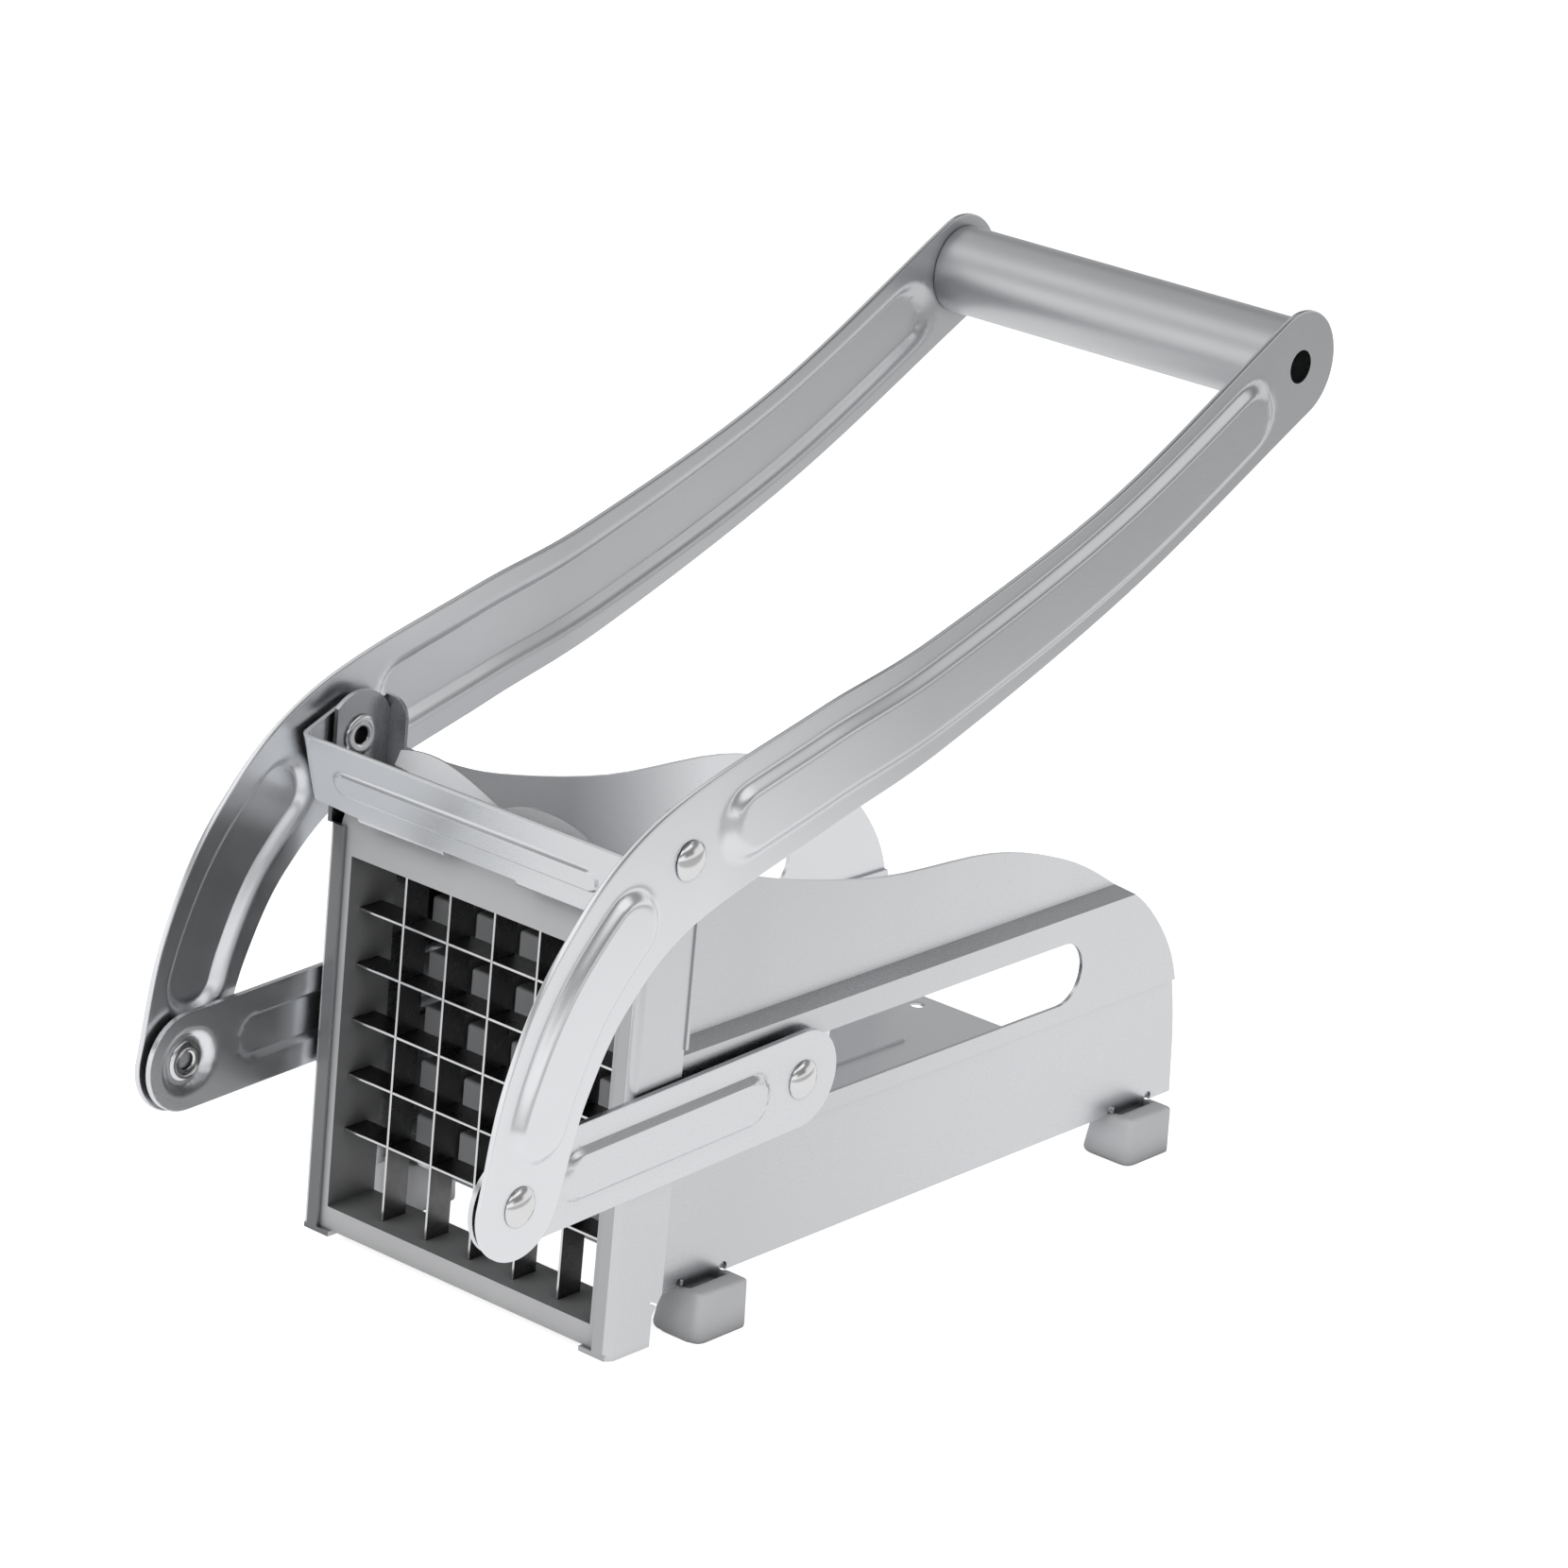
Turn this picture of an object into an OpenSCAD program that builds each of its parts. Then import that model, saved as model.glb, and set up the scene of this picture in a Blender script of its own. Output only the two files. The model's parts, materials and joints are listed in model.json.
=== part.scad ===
// Lever-operated french fry cutter in stainless sheet: a blade grid at the front, a studded
// pusher in a chute behind it, and a hand lever whose two links drive the pusher to and fro.
// Millimetres. X is across, Y runs from the blades back to the handle, Z is up from the table.

/* [Cutting grid] */
// Distance from one blade to the next
cell_pitch = 11.5; // [11:0.25:12.5]
// Sheet thickness of a blade
blade_sheet = 0.5; // [0.3:0.1:0.7]
// Depth of a blade from its cutting edge to its back
blade_depth = 6.5; // [5:0.5:7.5]
// Extra height of the lowest row of cells
low_row_extra = 4; // [3:0.5:5]

/* [Blade holder] */
// Plastic wall beside the opening
holder_wall = 3.2; // [2.5:0.1:4]
// Plastic rim below the opening
holder_floor = 4.7; // [3.5:0.1:6]
// Height of the front face above the opening
holder_head = 5.7; // [5:0.1:6.5]
// Distance from the front face to the blades' cutting edges
blade_setback = 3.3; // [2:0.1:4]
// Front-to-back depth of the holder
holder_depth = 13.1; // [12:0.1:14]

/* [Sheets] */
// Thickness of the front posts
post_sheet = 1; // [0.8:0.1:1.2]
// Thickness of the side panels and the base tray
panel_sheet = 0.8; // [0.6:0.1:1]
// Thickness of the lever arms
arm_sheet = 1.2; // [1:0.1:1.6]
// Thickness of the links
link_sheet = 1.2; // [1:0.1:1.6]
// Thickness of the latch bar
latch_sheet = 1; // [0.8:0.1:1.1]

/* [Side panels and tray] */
// Length of the frame behind the front posts
panel_length = 164.2; // [155:1:170]
// Drop from the hinge to the panels' front shoulder
shoulder_drop = 2.6; // [1.5:0.1:5]
// Half the height of the slot that guides the pusher
slot_half = 6.75; // [6:0.05:7.5]
// Distance from the slot's rear end to the frame's rear end
slot_tail = 37.9; // [35:0.1:42]
// Height of the tray above the table
tray_height = 9.8; // [9:0.1:11]
// Gap between the blades and the front edge of the tray's floor
floor_front = 20; // [16:0.5:24]

/* [Lever] */
// Distance from the hinge forward to the lower rivets
crank_reach = 39.7; // [38:0.1:41]
// Length of a link between its two rivets
link_length = 82.35; // [80:0.05:84]
// Distance from the hinge back to the grip
handle_reach = 179.2; // [165:0.2:190]
// Height of the grip above the hinge
handle_rise = 66.3; // [60:0.1:75]
// Half the width of an arm at the hinge
arm_half = 12.9; // [12:0.1:14]
// Radius of the grip tube
grip_radius = 9.25; // [8:0.25:10]
// Wall of the grip tube
grip_wall = 1; // [0.8:0.1:1.5]

/* [Pusher] */
// Width of one stud's square face
stud_size = 9.9; // [9:0.1:10]
// Length of a stud
stud_length = 12; // [10:0.5:13]
// Thickness of the plate that carries the studs
stud_base = 3; // [2:0.25:4]
// Distance from the back of the studs' plate to the cross axle
axle_behind = 12.1; // [11.5:0.1:14]
// Radius of the pusher's cross axle
axle_radius = 3; // [2.5:0.1:3.5]

/* [Latch] */
// Slope of the latch bar
latch_tilt = 17; // [15:0.5:18]
// Distance from the hinge to the latch bar's outer face
latch_reach = 12.8; // [12:0.1:13.4]

/* [Rivets] */
// Radius of a rivet's shank
rivet_radius = 2.9; // [2.5:0.05:3.1]
// Radius of a rivet's domed head
rivet_head = 4; // [3.7:0.1:4.6]
// Height of a rivet's domed head
rivet_dome = 1.1; // [0.8:0.1:1.3]

/* [Feet] */
// Length of a foot along the frame
foot_length = 14.5; // [12:0.5:16]
// Distance that a foot stands out from the tray's side
foot_reach = 6.5; // [6:0.1:7.5]

/* [Hidden] */
$fn = 64;

// Clearances and the overrun of every cut
overrun = 1;
run_clear = 0.05;
seat_clear = 0.02;
face_clear = 0.1;
slide_clear = 0.2;
rest_clear = 0.3;

// Blades: five each way make six rows of six cells
blade_count = 5;
cell_count = blade_count + 1;
grid_half = cell_pitch * cell_count / 2;
blade_seat = 2;

// Widths from the mid-plane outwards, one layer of sheet after another
chute_clear = 0.7;
chute_in = grid_half + chute_clear;
chute_out = chute_in + panel_sheet;
holder_half = grid_half + holder_wall;
skirt_in = holder_half + slide_clear;
skirt_out = skirt_in + panel_sheet;
panel_out = skirt_out + panel_sheet;
post_in = panel_out;
post_out = post_in + post_sheet;
link_clear = 0.4;
link_in = post_out + link_clear;
link_out = link_in + link_sheet;
link_boss = 1.2;
arm_in = link_out + link_boss;
arm_out = arm_in + arm_sheet;
latch_clear = 0.7;
latch_in = post_out + latch_clear;
latch_out = latch_in + latch_sheet;

// Heights above the table
post_bottom = 1;
holder_bottom = post_bottom + post_sheet;
opening_bottom = holder_bottom + holder_floor;
grid_z = opening_bottom + low_row_extra + grid_half;
opening_top = grid_z + grid_half;
holder_face_top = opening_top + holder_head;

// Pivots, as [Y, Z]
hinge_back = 2;
hinge_rise = 16.4;
hinge = [hinge_back, holder_face_top + hinge_rise];
slot_lift = 1.6;
slot_z = grid_z + slot_lift;
link_drop = 3;
crank = [hinge[0] - crank_reach, slot_z - link_drop];
drive = [crank[0] + sqrt(pow(link_length, 2) - pow(link_drop, 2)), slot_z];
grip = hinge + [handle_reach, handle_rise];

// Lever arm: the centre line runs through shares of the crank's and the handle's span
crank_span = [crank_reach, hinge[1] - crank[1]];
handle_span = [handle_reach, handle_rise];
crank_shares = [[-1, -1], [-0.86, -0.63], [-0.58, -0.3], [-0.07, -0.03]];
handle_shares = [[0.208, 0.148], [0.395, 0.276], [0.699, 0.578], [1, 1]];
arm_width_shares = [0.83, 0.92, 0.97, 1, 0.98, 0.93, 0.86, 0.9];
crank_end = arm_half * arm_width_shares[0];
grip_end = arm_half * arm_width_shares[7];
arm_steps = 7;
cap_steps = 12;
bead_half = 7;
bead_rise = 0.9;
upper_bead_shares = [0.5, 0.955];
lower_bead_shares = [0.1, 0.35];
hang_hole = 3.5;

// Link: round ends, a pressed bead and a boss that meets the arm
link_end = 10;
link_bead_half = 5;
link_bead_rise = 0.9;
link_bead_front = 18.7;
link_bead_rear = 15.6;
boss_radius = 5.4;
boss_slope = 1.2;
boss_foot = boss_radius + boss_slope + link_sheet;

// Places along the frame
holder_front = -blade_setback;
holder_rear = holder_front + holder_depth;
post_front = holder_front - post_sheet;
post_rear = holder_rear + slide_clear;
frame_rear = post_rear + panel_length;
slot_rear = frame_rear - slot_tail;

// Frame contour behind the posts, as shares of the panel's length and height
panel_height = hinge[1] - shoulder_drop - tray_height;
contour_shares = [
    [0, 1], [0.067, 0.94], [0.177, 0.866], [0.375, 0.787], [0.59, 0.754], [0.737, 0.68],
    [0.833, 0.592], [0.904, 0.499], [0.961, 0.364], [0.987, 0.204], [1, 0]
];
contour_steps = 5;
seam_drop = 10.5;
seam_z = slot_z - seam_drop;
skirt_lap = 3.2;
jog_lift = 12.5;
jog_z = slot_z + jog_lift;
jog_rise = 1.8;
slot_front = 17;
flange_lift = 6.4;
flange_lap = 0.4;
flange_round = 4;

// Front posts
lip_width = 4.3;
ear_radius = 8.9;
post_bend = 2.2;
hook_inner = 33;
hook_length = 9;
heel_height = 7.4;
heel_slope = 3.8;
heel_step = 2.5;
heel_nick = 2.3;
heel_nick_width = 0.5;
heel_nick_turn = 25;

// Throat web: a guard over the pusher's way, with an arched tab in the middle and a scooped lip that
// leads to the left panel's shoulder
web_setback = 3;
web_sheet = 0.8;
web_low = 2.5;
web_crest = 4.1;
arch_half = 11.5;
arch_wall = 3.1;
arch_rise = 2.6;
lip_forward = 4;
lip_rise = 6.2;
lip_scoop = 3;
lip_depth = 4.2;
lip_steps = 16;
lip_sheet = 0.5;
lip_bite = 0.15;
lip_lap = 0.3;

// Tray
rib_x = 14.5;
rib_half = 1.6;
rib_rise = 0.6;
rib_front = 26;
rib_tail = 25.7;
rib_rear = frame_rear - rib_tail;
tail_short = 1.8;
drain_x = 24.2;
drain_short = 7;
drain_radius = 1.6;

// Feet: each is pushed on a tab bent out of the tray's skirt
foot_inner = 7.7;
foot_tail = 21.6;
foot_start = 16.2;
foot_front_y = [foot_start, frame_rear - foot_tail];
foot_taper = 1.6;
foot_bow = 5;
foot_nose = 2.4;
foot_edge = 1;
foot_draft = 0.3;
foot_pocket = 1.8;
tab_width = 10.5;
tab_reach = 4.6;
tab_drop = 1.9;
tab_relief = 1.1;
relief_lift = 0.8;
relief_slit = 0.5;
foot_rise = 0.5;
foot_hug = 0.3;

// Latch bar, in its own tilted frame with the hinge as origin
latch_top = 6.3;
latch_bottom = 8.3;
latch_boss = 7.2;
latch_bead_half = 2.5;
latch_bead_drop = 1.6;
latch_bead_span = 34;
latch_bead_rise = 0.8;
latch_tab_inner = 8;
latch_tab_outer = 29;
latch_tab_drop = 1.7;
latch_tab_depth = 7.8;
latch_corner_in = 4.4;
head_run = 1.5;
latch_wall = 0.2;

// Rivets, washers and eyelets
eyelet_radius = 4.2;
eyelet_hole = 1.6;
eyelet_roll = 0.7;
eyelet_depth = 2.4;
washer_radius = 5;
dome_steps = 6;

// Pusher
block_clear = 0.4;
block_bottom = tray_height + panel_sheet + rib_rise + slide_clear;
block_back = drive[0] - axle_behind;
block_front = block_back - stud_base - stud_length;
stud_chamfer = 0.6;
carriage_sheet = 1.2;
carriage_inset = 1.5;
cheek_out = 33.9;
cheek_tail = 17.6;
cheek_half = 11;
bush_clear = 0.1;
bush_radius = slot_half - bush_clear;
bush_flange = 9;
bush_flange_thick = 1.2;
bush_short = 0.4;
bush_out = link_in - bush_short;
axle_out = bush_out + face_clear;
screw_radius = 1.5;
screw_head = 3;
screw_head_height = 1.8;
screw_bite = 2.2;
screw_spread = grid_half / 2;

// The part's own frame has its origin on the table, below the middle of its length
front_end = crank[0] - crank_end;
rear_end = grip[0] + grip_end;
middle_y = (front_end + rear_end) / 2;

// Smooth curve through a list of points, with a given number of steps between neighbours
function curve_at(a, b, c, d, t) =
    (2 * b + (c - a) * t + (2 * a - 5 * b + 4 * c - d) * pow(t, 2) + (3 * b - a - 3 * c + d) * pow(t, 3)) / 2;
function before(p) = 2 * p[0] - p[1];
function after(p) = 2 * p[len(p) - 1] - p[len(p) - 2];
function padded(p) = concat([before(p)], p, [after(p)]);
function smooth(p, steps) = let (q = padded(p)) concat(
    [for (i = [1 : len(p) - 1], k = [0 : steps - 1]) curve_at(q[i - 1], q[i], q[i + 1], q[i + 2], k / steps)],
    [p[len(p) - 1]]
);

// Unit normal on the left of a line of points, at point i
function heading(p, i) = p[min(i + 1, len(p) - 1)] - p[max(i - 1, 0)];
function normal(p, i) = let (d = heading(p, i)) [-d[1], d[0]] / norm(d);
function offset_line(p, widths, side) = [for (i = [0 : len(p) - 1]) p[i] + normal(p, i) * widths[i] * side];
function reversed(p) = [for (i = [len(p) - 1 : -1 : 0]) p[i]];

arm_points = concat(
    [for (s = crank_shares) hinge + [s[0] * crank_span[0], s[1] * crank_span[1]]],
    [for (s = handle_shares) hinge + [s[0] * handle_span[0], s[1] * handle_span[1]]]
);
arm_line = smooth(arm_points, arm_steps);
arm_widths = smooth(arm_width_shares, arm_steps) * arm_half;

function contour() = [for (s = contour_shares)
    [post_rear + s[0] * panel_length, tray_height + s[1] * panel_height]];

// Place the part's own frame, and stand a YZ outline up between two widths
module placed() {
    translate([0, -middle_y, 0]) children();
}

module left() {
    mirror([1, 0, 0]) children();
}

module upright(from, to) {
    translate([from, 0, 0]) rotate([90, 0, 90]) linear_extrude(to - from) children();
}

module at(point) {
    translate([0, point[0], point[1]]) children();
}

// A cylinder along X between two widths
module rod(radius, from, to) {
    translate([from, 0, 0]) rotate([0, 90, 0]) cylinder(r = radius, h = to - from);
}

// Points of the half circle that closes a strip round one end of its line
function cap(centre, across, radius) = [for (k = [1 : cap_steps - 1])
    let (turn = 180 * k / cap_steps)
    centre + radius * (across * cos(turn) + [across[1], -across[0]] * sin(turn))];

// A strip of varying width along a line, with round ends of its own width
module strip(line, widths) {
    last = len(line) - 1;
    polygon(concat(
        offset_line(line, widths, 1), cap(line[last], normal(line, last), widths[last]),
        reversed(offset_line(line, widths, -1)), cap(line[0], -normal(line, 0), widths[0])
    ));
}

// Part of the arm's centre line between two shares of its points
function cut_line(line, shares) = let (last = len(line) - 1)
    [for (i = [round(shares[0] * last) : round(shares[1] * last)]) line[i]];

module bead_outline(shares, half) {
    line = cut_line(arm_line, shares);
    strip(line, [for (p = line) half]);
}

module stadium(length, half) {
    translate([0, -half]) square([length, 2 * half]);
    circle(half);
    translate([length, 0]) circle(half);
}

// A domed rivet whose inner end is rolled over like an eyelet
module rivet(head_at, end_at) {
    dome = [for (k = [0 : dome_steps])
        [rivet_head * cos(90 * k / dome_steps), rivet_dome * sin(90 * k / dome_steps)]];
    length = head_at - end_at;
    translate([head_at, 0, 0]) rotate([0, 90, 0]) difference() {
        rotate_extrude() polygon(concat(
            [[0, -length]],
            [[eyelet_radius, -length], [eyelet_radius, -length + eyelet_roll]],
            [[rivet_radius, -length + eyelet_roll], [rivet_radius, 0]],
            dome
        ));
        translate([0, 0, -length - overrun]) cylinder(r = eyelet_hole, h = eyelet_depth + overrun);
    }
}

// Base tray: floor, two skirts, tabs for the feet, two stiffening ribs and a drain hole
module skirt() {
    tail = smooth(contour(), contour_steps);
    upright(skirt_in, skirt_out) difference() {
        polygon(concat(
            [[holder_front, tray_height], [holder_front, seam_z + skirt_lap]],
            [for (p = tail) if (p[1] <= seam_z + skirt_lap) p]
        ));
        for (y = foot_front_y) for (end = [0, tab_width + 2 * tab_relief])
            translate([tab_y(y) - tab_relief + end, tray_height]) relief();
    }
}

// Round relief at the end of a tab's bend, with the slit that leads to it
module relief() {
    translate([0, relief_lift]) circle(tab_relief);
    translate([-relief_slit, -overrun]) square([2 * relief_slit, relief_lift + overrun]);
}

function tab_y(foot_y) = foot_y + (foot_length - tab_width) / 2;

module foot_tab(foot_y) {
    bottom = tray_height - tab_drop;
    translate([skirt_in, tab_y(foot_y), bottom])
        cube([panel_sheet, tab_width, tab_drop + panel_sheet]);
    translate([skirt_in, tab_y(foot_y), bottom])
        cube([panel_sheet + tab_reach, tab_width, panel_sheet]);
}

module tray_rib(grow) {
    translate([rib_x, rib_front]) rotate(90) stadium(rib_rear - rib_front, rib_half - grow);
}

module base_tray() {
    color("gainsboro") placed() {
        difference() {
            union() {
                translate([-skirt_in, floor_front, tray_height])
                    cube([2 * skirt_in, frame_rear - tail_short - floor_front, panel_sheet]);
                for (side = [0, 1]) mirror([side, 0, 0])
                    translate([0, 0, tray_height + panel_sheet]) linear_extrude(rib_rise) tray_rib(0);
            }
            for (side = [0, 1]) mirror([side, 0, 0]) {
                translate([0, 0, tray_height - overrun])
                    linear_extrude(rib_rise + overrun) tray_rib(panel_sheet);
                translate([drain_x, frame_rear - drain_short, tray_height - overrun])
                    cylinder(r = drain_radius, h = panel_sheet + 2 * overrun);
            }
        }
        for (side = [0, 1]) mirror([side, 0, 0]) {
            skirt();
            for (y = foot_front_y) foot_tab(y);
        }
    }
}

// Side panel: a lower wall outside the skirt, a slanted jog, and an upper wall close to the pusher
module panel_section() {
    top = jog_z + panel_height;
    upright_profile = [
        [skirt_out, seam_z], [panel_out, seam_z], [panel_out, jog_z],
        [chute_out, jog_z + jog_rise], [chute_out, top], [chute_in, top],
        [chute_in, jog_z + jog_rise - panel_sheet / 2], [skirt_out, jog_z - panel_sheet / 2]
    ];
    translate([0, frame_rear, 0]) rotate([90, 0, 0]) linear_extrude(panel_length) polygon(upright_profile);
}

module side_panel() {
    edge = smooth(contour(), contour_steps);
    difference() {
        union() {
            intersection() {
                panel_section();
                upright(0, panel_out) polygon(concat([[post_rear, 0]], edge));
            }
            translate([skirt_out, holder_front, seam_z])
                cube([panel_sheet, post_rear - holder_front, jog_z - seam_z]);
            flange();
        }
        upright(skirt_in, panel_out + overrun)
            translate([slot_front + slot_half, slot_z])
                stadium(slot_rear - slot_front - 2 * slot_half, slot_half);
    }
}

// The panel's front edge turned outwards behind the post, round at its upper inner corner
module flange() {
    top = hinge[1] + flange_lift;
    bottom = jog_z + jog_rise;
    outer = post_out + flange_lap;
    translate([0, post_rear + panel_sheet, 0]) rotate([90, 0, 0]) linear_extrude(panel_sheet) {
        translate([chute_in, bottom]) square([outer - chute_in, top - flange_round - bottom]);
        translate([chute_in + flange_round, bottom]) square([outer - chute_in - flange_round, top - bottom]);
        translate([chute_in + flange_round, top - flange_round]) circle(flange_round);
    }
}

module right_side_panel() {
    color("silver") placed() side_panel();
}

module left_side_panel() {
    color("silver") placed() left() side_panel();
}

// Front post: a channel side that holds the blade holder, and the ear that carries the hinge
module post_outline() {
    shoulder = hinge[1];
    intersection() {
        translate([post_front, post_bottom]) square([post_rear - post_front, shoulder + ear_radius]);
        union() {
            translate([post_front, post_bottom]) square([post_rear - post_front, shoulder - post_bottom]);
            translate(hinge) circle(ear_radius);
        }
    }
}

module post_section(lip) {
    difference() {
        union() {
            translate([post_out - lip, post_front]) square([lip - post_bend, post_sheet]);
            translate([post_in, post_front + post_bend])
                square([post_sheet, post_rear - post_front - post_bend]);
            translate([post_out - post_bend, post_front + post_bend]) circle(post_bend);
        }
        translate([post_out - post_bend, post_front + post_bend]) circle(post_bend - post_sheet);
        translate([post_in - lip, post_front + post_sheet]) square([lip, post_rear - post_front]);
    }
}

module front_post() {
    top = hinge[1] + ear_radius;
    difference() {
        union() {
            intersection() {
                union() {
                    linear_extrude(holder_face_top) post_section(lip_width);
                    translate([post_in, post_front, holder_face_top])
                        cube([post_sheet, post_rear - post_front, top - holder_face_top]);
                }
                upright(0, post_out) post_outline();
            }
            translate([hook_inner, post_front, post_bottom])
                cube([post_in - hook_inner, hook_length, post_sheet]);
        }
        upright(post_in - overrun, post_out + overrun) heel_cut();
        at(hinge) rod(rivet_radius + seat_clear, post_in - overrun, post_out + overrun);
    }
}

// The post's rear edge steps forward above the foot, with a nick where the sheet was parted
module heel_cut() {
    polygon([
        [post_rear + overrun, heel_height + heel_slope], [post_rear, heel_height + heel_slope],
        [post_rear - heel_step, heel_height], [post_rear - heel_step, 0], [post_rear + overrun, 0]
    ]);
    translate([post_rear - heel_step / 2, heel_height + heel_slope / 2]) rotate(180 - heel_nick_turn)
        translate([-overrun / 2, -heel_nick_width / 2]) square([heel_nick + overrun / 2, heel_nick_width]);
}

module right_front_post() {
    color("lightgray") placed() front_post();
}

module left_front_post() {
    color("lightgray") placed() left() front_post();
}

// Throat web between the panels
web_front = post_rear + web_setback;
web_bottom = opening_top + web_low;
web_top = holder_face_top + web_crest;
arch_foot = web_top + arch_wall;
lip_sweep = 110;
lip_ease = 1.2;
scoop_sweep = 150;
scoop_end_share = 0.3;

lip_back = web_front + lip_bite;
lip_start = -arch_half + lip_lap;
lip_end = -chute_in + run_clear;

function lip_x(t) = lip_start + (lip_end - lip_start) * t;
function rim_y(t) = lip_back - lip_forward * pow(t, 2);
function rim_z(t) = arch_foot - lip_lap + lip_rise * sin(lip_sweep * pow(t, lip_ease)) / sin(lip_sweep);
function scoop(t) = sin(scoop_sweep * t);
function crease_y(t) = rim_y(t) - lip_scoop * scoop(t);
function crease_z(t) = rim_z(t) - lip_depth * (scoop_end_share + (1 - scoop_end_share) * scoop(t));

// The scooped lip: a sheet from the web's top to a crease in front, and from there back to the rim
module scooped_lip() {
    rows = [for (k = [0 : lip_steps]) let (t = k / lip_steps) [
        [lip_x(t), lip_back, web_top - web_sheet],
        [lip_x(t), crease_y(t), crease_z(t)],
        [lip_x(t), rim_y(t), rim_z(t)],
        [lip_x(t), rim_y(t) + lip_sheet, rim_z(t)],
        [lip_x(t), crease_y(t) + lip_sheet, crease_z(t)],
        [lip_x(t), lip_back + lip_sheet, web_top - web_sheet]
    ]];
    side = len(rows[0]);
    points = [for (row = rows) each row];
    side_faces = [for (k = [0 : lip_steps - 1], j = [0 : side - 1])
        let (a = side * k, b = side * (k + 1), n = (j + 1) % side)
        each [[a + j, b + j, b + n], [a + j, b + n, a + n]]];
    last = side * lip_steps;
    polyhedron(points, concat(side_faces, [
        [5, 4, 0], [0, 4, 1], [4, 3, 1], [1, 3, 2],
        [last, last + 4, last + 5], [last, last + 1, last + 4],
        [last + 1, last + 3, last + 4], [last + 1, last + 2, last + 3]
    ]));
}

module throat_web() {
    arch_radius = (pow(arch_half, 2) + pow(arch_rise, 2)) / (2 * arch_rise);
    color("silver") placed() {
        translate([0, web_front + web_sheet, 0]) rotate([90, 0, 0]) linear_extrude(web_sheet) {
            translate([-chute_in, web_bottom]) square([2 * chute_in, web_top - web_bottom]);
            translate([-arch_half, web_bottom]) square([2 * arch_half, arch_foot - web_bottom]);
            intersection() {
                translate([0, arch_foot + arch_rise - arch_radius]) circle(arch_radius);
                translate([-arch_half, web_bottom]) square([2 * arch_half, arch_foot + arch_rise - web_bottom]);
            }
        }
        scooped_lip();
    }
}

// Blade holder: a plastic frame with a pocket for each blade end and a head that slopes under the latch
latch_line_z = hinge[1] - (latch_bottom + latch_tab_drop) / cos(latch_tilt);
function latch_under(y) = latch_line_z + (y - hinge[0]) * tan(latch_tilt) - rest_clear / cos(latch_tilt);
crest_y = hinge[0] + (latch_bottom + latch_tab_drop) * sin(latch_tilt)
    - (latch_reach - latch_tab_depth) * cos(latch_tilt);

module holder_side() {
    polygon([
        [holder_front, holder_bottom], [holder_rear, holder_bottom], [holder_rear, latch_under(crest_y)],
        [crest_y, latch_under(crest_y)], [holder_front + head_run, latch_under(holder_front + head_run)],
        [holder_front, holder_face_top]
    ]);
}

module blade_holder() {
    pocket = blade_sheet + 2 * run_clear;
    color("darkgray") placed() difference() {
        upright(-holder_half, holder_half) holder_side();
        translate([-grid_half, holder_front - overrun, opening_bottom])
            cube([2 * grid_half, holder_depth + 2 * overrun, opening_top - opening_bottom]);
        for (k = [1 : blade_count]) {
            translate([blade_at(k) - pocket / 2, -run_clear, opening_bottom - blade_seat - run_clear])
                cube([pocket, blade_depth + 2 * run_clear,
                    opening_top - opening_bottom + 2 * (blade_seat + run_clear)]);
            translate([-grid_half - blade_seat - run_clear, -run_clear, grid_z + blade_at(k) - pocket / 2])
                cube([2 * (grid_half + blade_seat + run_clear), blade_depth + 2 * run_clear, pocket]);
        }
    }
}

// Blades, half-lapped where they cross
function blade_at(k) = (k - cell_count / 2) * cell_pitch;

module upright_blade(k) {
    lap = blade_sheet + 2 * run_clear;
    low = opening_bottom - blade_seat;
    color("whitesmoke") placed() difference() {
        translate([blade_at(k) - blade_sheet / 2, 0, low])
            cube([blade_sheet, blade_depth, opening_top + blade_seat - low]);
        for (j = [1 : blade_count])
            translate([blade_at(k) - blade_sheet, blade_depth / 2 - run_clear, grid_z + blade_at(j) - lap / 2])
                cube([2 * blade_sheet, blade_depth, lap]);
    }
}

module level_blade(k) {
    lap = blade_sheet + 2 * run_clear;
    half = grid_half + blade_seat;
    color("whitesmoke") placed() difference() {
        translate([-half, 0, grid_z + blade_at(k) - blade_sheet / 2])
            cube([2 * half, blade_depth, blade_sheet]);
        for (j = [1 : blade_count])
            translate([blade_at(j) - lap / 2, -blade_depth / 2 + run_clear, grid_z + blade_at(k) - blade_sheet])
                cube([lap, blade_depth, 2 * blade_sheet]);
    }
}

// Rubber foot: bowed at its front inner corner and tapered, pushed up round the tab
function foot_corners(y) = let (
    outer = skirt_out + foot_reach,
    inner = skirt_in - foot_inner + panel_sheet,
    back = y + foot_length
) [
    [inner + foot_bow, y + foot_bow, foot_bow, foot_taper],
    [outer - foot_nose, y + foot_nose, foot_nose, foot_taper / 2],
    [outer - foot_edge, back - foot_edge, foot_edge, foot_draft],
    [inner + foot_edge, back - foot_edge, foot_edge, foot_draft]
];

module foot_block(y) {
    hull() for (c = foot_corners(y))
        translate([c[0], c[1], 0]) cylinder(r1 = c[2], r2 = c[2] - c[3], h = tray_height + foot_rise, $fn = 32);
}

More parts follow.
